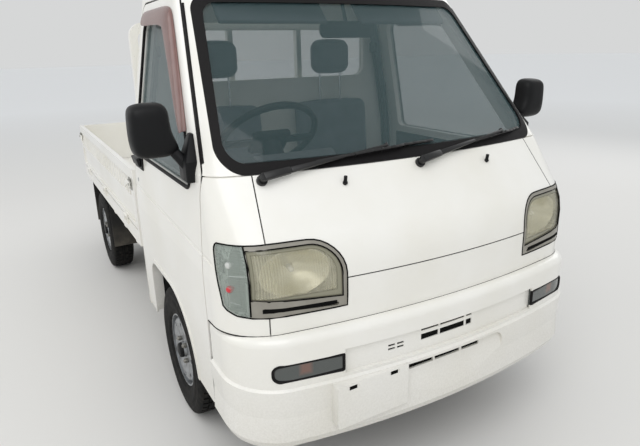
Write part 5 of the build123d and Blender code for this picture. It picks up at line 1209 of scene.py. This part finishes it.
# From the front lower corner up, over the window and down the rear edge; none under the door
door_line = door_line[7:] + door_line[:7]
longest_step = 0.06
for side, word in both_sides:
    points = []
    for k in range(strip_gaps + 1):
        spot = strip_head + slant * (strip_length * k / strip_gaps)
        point, normal = on_side(spot.x, spot.z, side, "cab_sides", "windscreen_seal")
        points.append(point - normal * 0.002)
    strip = bead(f"pillar_strip_{word}", points, 0.0064, rubber_mat)
    hand_over(strip, "truck", "seal_rubber")
    gap_line = []
    for x, z in door_line:
        spot = on_side(x, z, side, f"door_{word}")
        away = Vector((0, 0, 0))
        if x < 0.42:
            away = Vector((-1, 0, 0))
        elif x > 1.33:
            away = Vector((1, 0, 0))
        elif z > 1.112 and x > 0.91:
            away = outward
        elif z > 1.6:
            away = Vector((0, 0, 1))
        if spot and z >= 0.34:
            gap_line.append(spot[0] + away * seal_out - spot[1] * seal_in)
    # Straight runs are cut finer, so that the seal follows the cab's curve
    run = []
    for a, b in zip(gap_line, gap_line[1:]):
        pieces = max(1, round((b - a).length / longest_step))
        run += [a.lerp(b, k / pieces) for k in range(pieces)]
    run.append(gap_line[-1])
    hand_over(bead(f"door_seal_{word}", run, 0.0029, rubber_mat), "truck", "seal_rubber")

# Mud flaps, and the rubber undercoat and mat of the cab floor: black rubber sheet, screwed or glued
# down, with dried grey-brown mud low on it
flap_mat, tree, shader, place = start_material("mud_flap_rubber", "#141414", 0.75)
mud = add_node(tree, "TexNoise", {"Vector": place, "Scale": 25.0, "Detail": 6.0})
height = add_node(tree, "SeparateXYZ", {0: place}).outputs["Z"]
foot = add_node(tree, "MapRange", {"Value": height, 1: 0.25, 2: 0.42, 3: 0.8, 4: 0.05})
muddy = add_node(tree, "Math", {0: mud, 1: foot}, operation="MULTIPLY")
flap_colour = add_node(tree, "Mix", {"Factor": muddy, "A": "#121212", "B": "#6d665b"}, data_type="RGBA")
feed(shader, {"Base Color": flap_colour})
dress(flap_mat, "rear_mudguards", "cab_floor")

# Frame, springs, front crossmember, rear bumper, tank and knuckles: welded and pressed steel in
# chassis black, with road dust in patches and rust in specks
chassis_mat, tree, shader, place = start_material("chassis_black", "#17181a", 0.5)
# Rust specks about 8 mm across
rust = add_node(tree, "TexNoise", {"Vector": place, "Scale": 120.0, "Detail": 6.0, "Roughness": 0.7})
spotted = add_node(tree, "MapRange", {"Value": rust, 1: 0.6, 2: 0.72, 3: 0.0, 4: 0.7})
dusting = add_node(tree, "TexNoise", {"Vector": place, "Scale": 9.0, "Detail": 5.0})
dusty = add_node(tree, "Mix", {"Factor": dusting, "A": "#111213", "B": "#2c2b29"}, data_type="RGBA")
rusty = add_node(tree, "Mix", {"Factor": spotted, "A": dusty, "B": "#5a3a26"}, data_type="RGBA")
rough = add_node(tree, "MapRange", {"Value": spotted, 1: 0.0, 2: 0.7, 3: 0.42, 4: 0.85})
feed(shader, {"Base Color": rusty, "Roughness": rough})
dress(
    chassis_mat,
    "frame_rails", "leaf_springs", "front_crossmember", "rear_bumper", "fuel_tank", "knuckle_left",
    "knuckle_right",
)

# Guard frame behind the cab: welded square steel tube in the body's white, bolted to the bed, with the
# enamel chipped in flecks by what is loaded
guard_mat, tree, shader, place = start_material("guard_enamel", "#e9e7e0", 0.4, Coat_Weight=0.4)
chips = add_node(tree, "TexNoise", {"Vector": place, "Scale": 55.0, "Detail": 7.0, "Roughness": 0.65})
chipped = add_node(tree, "MapRange", {"Value": chips, 1: 0.66, 2: 0.70, 3: 0.0, 4: 0.8})
guard_colour = add_node(tree, "Mix", {"Factor": chipped, "A": "#eae8e1", "B": "#7b6650"}, data_type="RGBA")
feed(shader, {"Base Color": guard_colour})
dress(guard_mat, "guard_frame")

# Engine, gearbox, axle and propeller shaft: sand-cast iron and aluminium and steel tube, left bare
# under a film of oil and dust, and bolted to the frame and the springs
cast_mat, tree, shader, place, _ = mottled(
    "sand_cast_iron", "#2b2a27", "#5a564f", 0.7, 8.0, 5.0, Metallic=0.35
)
# Casting skin about 2.5 mm across
relief(tree, shader, place, "TexNoise", 400.0, 0.4, 0.0006, {"Detail": 3.0})
dress(cast_mat, "rear_axle", "engine_block", "gearbox_block", "propeller_shaft")

# Exhaust: bent pipe and a rolled silencer of aluminised steel, gone brown with heat and road salt, and
# hung under the frame
exhaust_mat, tree, shader, _, salt = mottled(
    "aluminised_exhaust", "#4a3a2d", "#8c857c", 0.5, 30.0, 7.0, Metallic=0.7
)
feed(shader, {"Roughness": add_node(tree, "MapRange", {"Value": salt, 1: 0.3, 2: 0.7, 3: 0.75, 4: 0.4})})
dress(exhaust_mat, "exhaust")

# Rear lamps: three ribbed acrylic lenses in a black moulded tray, screwed under the bed's tail. Red
# for tail and stop, amber for turning, clear for reversing.
lamp_low, lamp_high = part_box("rear_lamps")
lens_mats = {}
for name, colour in (("clear_acrylic", "#cfd2cf"), ("amber_acrylic", "#cf6a14"), ("red_acrylic", "#9c1610")):
    material, tree, shader, place = start_material(name, colour, 0.12, Coat_Weight=0.5)
    # Prisms 10 mm apart both ways
    upright = add_node(tree, "TexWave", {"Vector": place, "Scale": 32.0}, bands_direction="Y")
    level = add_node(tree, "TexWave", {"Vector": place, "Scale": 32.0}, bands_direction="Z")
    prisms = add_node(
        tree, "Math", {0: upright.outputs["Fac"], 1: level.outputs["Fac"]}, operation="MULTIPLY"
    )
    feed(shader, {"Normal": add_node(tree, "Bump", {"Height": prisms, "Strength": 0.5, "Distance": 0.001})})
    lens_mats[name] = material
tray_width = 0.210
tray_low_y = lamp_high[1] - tray_width
for side, word in both_sides:
    parts = [
        rounded_block(
            "tray", (lamp_low[0] + 0.010, tray_low_y, lamp_low[2]), tuple(lamp_high), plastic_mat, 0.008
        )
    ]
    for low_y, high_y, name in (
        (0.004, 0.058, "clear_acrylic"), (0.060, 0.128, "amber_acrylic"), (0.130, 0.206, "red_acrylic"),
    ):
        low = (lamp_low[0], tray_low_y + low_y, lamp_low[2] + 0.005)
        high = (lamp_low[0] + 0.026, tray_low_y + high_y, lamp_high[2] - 0.005)
        parts.append(rounded_block("lens", low, high, lens_mats[name], 0.007, 4))
    lamp = joined(f"rear_lamp_{word}", parts)
    hand_over(lamp if side > 0 else other_side(lamp), "truck", "lamp_red", "rear_lamps")

# Gate catches: a folded steel lever in the body's white over a zinc-plated keeper and its pin, one at
# each end of every gate, a hand's width below the top rail
zinc_mat, tree, shader, place = start_material("zinc_plate", "#9b9a94", 0.38, Metallic=0.85)
spangle = add_node(tree, "TexVoronoi", {"Vector": place, "Scale": 90.0})
zinc_colour = add_node(tree, "Mix", {"Factor": spangle, "A": "#8d8c86", "B": "#a9a8a2"}, data_type="RGBA")
feed(shader, {"Base Color": zinc_colour})


def catch(name, material):
    """One catch at the origin, its back on the plane Y = 0 and its lever towards -X."""
    plate = rounded_block("catch_plate", (-0.062, 0.0, -0.028), (0.004, 0.003, 0.028), zinc_mat, 0.001, 2)
    lever = block("catch_lever", (-0.092, 0.004, -0.014), (-0.006, 0.0115, 0.012), material)
    pick_faces(lever, lambda c, n: n.x < -0.9)
    bpy.ops.mesh.extrude_region_move(TRANSFORM_OT_translate={"value": (-0.022, 0.003, -0.020)})
    edge_modifier(lever, 0.002, 3)
    pin = bead("catch_pin", [(-0.018, 0.0, 0.0), (-0.018, 0.0145, 0.0)], 0.0065, zinc_mat)
    bend = [(-0.05, 0.006, 0.016), (-0.01, 0.006, 0.020), (0.004, 0.006, 0.008), (0.0, 0.006, -0.006)]
    hook = bead("catch_hook", bend, 0.0035, zinc_mat)
    return joined(name, [plate, lever, pin, hook])


catch_z, catch_inset = 0.862, 0.010
for name, side in (("gate_left", 1), ("gate_right", -1)):
    low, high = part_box(name)
    pieces = []
    for x, flip in ((high[0] - catch_inset, 1), (low[0] + catch_inset, -1)):
        face = on_side(x - flip * 0.03, catch_z, side, name)[0]
        one = catch("catch", guard_mat)
        one.data.transform(Matrix.Translation((x, face.y, catch_z)) @ Matrix.Diagonal((flip, side, 1, 1)))
        if flip * side < 0:
            one.data.flip_normals()
        pieces.append(one)
    hand_over(joined(f"{name}_catches", pieces), name, "paint")
low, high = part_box("tailgate")
quarter_turn = Matrix.Rotation(math.radians(90), 4, "Z")
pieces = []
for side in (1, -1):
    behind = Vector((-2.2, side * (high[1] - 0.04), catch_z))
    face = first_hit(behind, Vector((1, 0, 0)), ("tailgate",))[0]
    one = catch("catch", guard_mat)
    stand = Matrix.Translation((face.x, side * (high[1] - catch_inset), catch_z))
    one.data.transform(stand @ quarter_turn @ Matrix.Diagonal((side, 1, 1, 1)))
    if side < 0:
        one.data.flip_normals()
    pieces.append(one)
hand_over(joined("tailgate_catches", pieces), "tailgate", "paint")

# Rope hooks: round steel bar bent into a U and painted white, welded in a row under the bed's side
# rails
hooks = []
for y in (0.712, -0.712):
    for x in (-1.56, -0.50, -0.18, 0.14):
        rear = [(x - 0.028, y, 0.566), (x - 0.028, y, 0.546), (x - 0.018, y, 0.533)]
        front = [(x + 0.018, y, 0.533), (x + 0.028, y, 0.546), (x + 0.028, y, 0.566)]
        hooks.append(bead("rope_hook", rear + front, 0.0045, guard_mat))
hand_over(joined("rope_hooks", hooks), "truck", "paint")

# Door linings: a charcoal board pressed with a fine grain and clipped to the door's inside, with a
# moulded armrest, a plastic winder and the inside handle
lining_mat, tree, shader, place, _ = mottled("lining_board", "#383a3c", "#4a4c4f", 0.7, 5.0, 4.0)
relief(tree, shader, place, "TexVoronoi", 300.0, 0.2, 0.0004)
board_mid_x, board_mid_z, board_length, board_height, board_off = 0.865, 0.830, 0.80, 0.375, 0.0035
for side, word in both_sides:
    bpy.ops.object.select_all(action="DESELECT")
    bpy.ops.mesh.primitive_grid_add(x_subdivisions=14, y_subdivisions=8, size=1)
    board = bpy.context.object
    for vertex in board.data.vertices:
        x = board_mid_x + vertex.co.x * board_length
        z = board_mid_z + vertex.co.y * board_height
        vertex.co = on_inside(x, z, side, f"door_{word}")[0] - Vector((0, side * board_off, 0))
    board.data.materials.append(lining_mat)
    bpy.ops.object.mode_set(mode="EDIT")
    bpy.ops.mesh.select_all(action="SELECT")
    bpy.ops.mesh.normals_make_consistent(inside=False)
    apply_modifier(board, "SOLIDIFY", thickness=0.003, offset=0.0)
    inner = on_inside(0.75, 0.90, side, f"door_{word}")[0].y * side - 0.005
    parts = [
        rounded_block("armrest", (0.54, inner - 0.045, 0.858), (0.90, inner, 0.900), lining_mat, 0.012, 4),
        rounded_block(
            "inside_handle", (0.93, inner - 0.016, 0.935), (1.02, inner - 0.002, 0.965), plastic_mat, 0.005
        ),
    ]
    for name, start, stop, radius in (
        ("winder", (1.04, inner, 0.83), (1.04, inner - 0.030, 0.83), 0.014),
        ("winder_arm", (1.04, inner - 0.026, 0.83), (1.11, inner - 0.034, 0.80), 0.0065),
        ("winder_knob", (1.11, inner - 0.032, 0.80), (1.11, inner - 0.060, 0.80), 0.0105),
    ):
        parts.append(bead(name, [start, stop], radius, plastic_mat))
    fittings = joined("fittings", parts)
    if side < 0:
        other_side(fittings)
    hand_over(joined(f"door_lining_{word}", [board, fittings]), f"door_{word}", "black_plastic")

size = {"cad": [list(map(float, c)) for c in cad_box], "visual": [list(map(float, c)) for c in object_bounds()]}
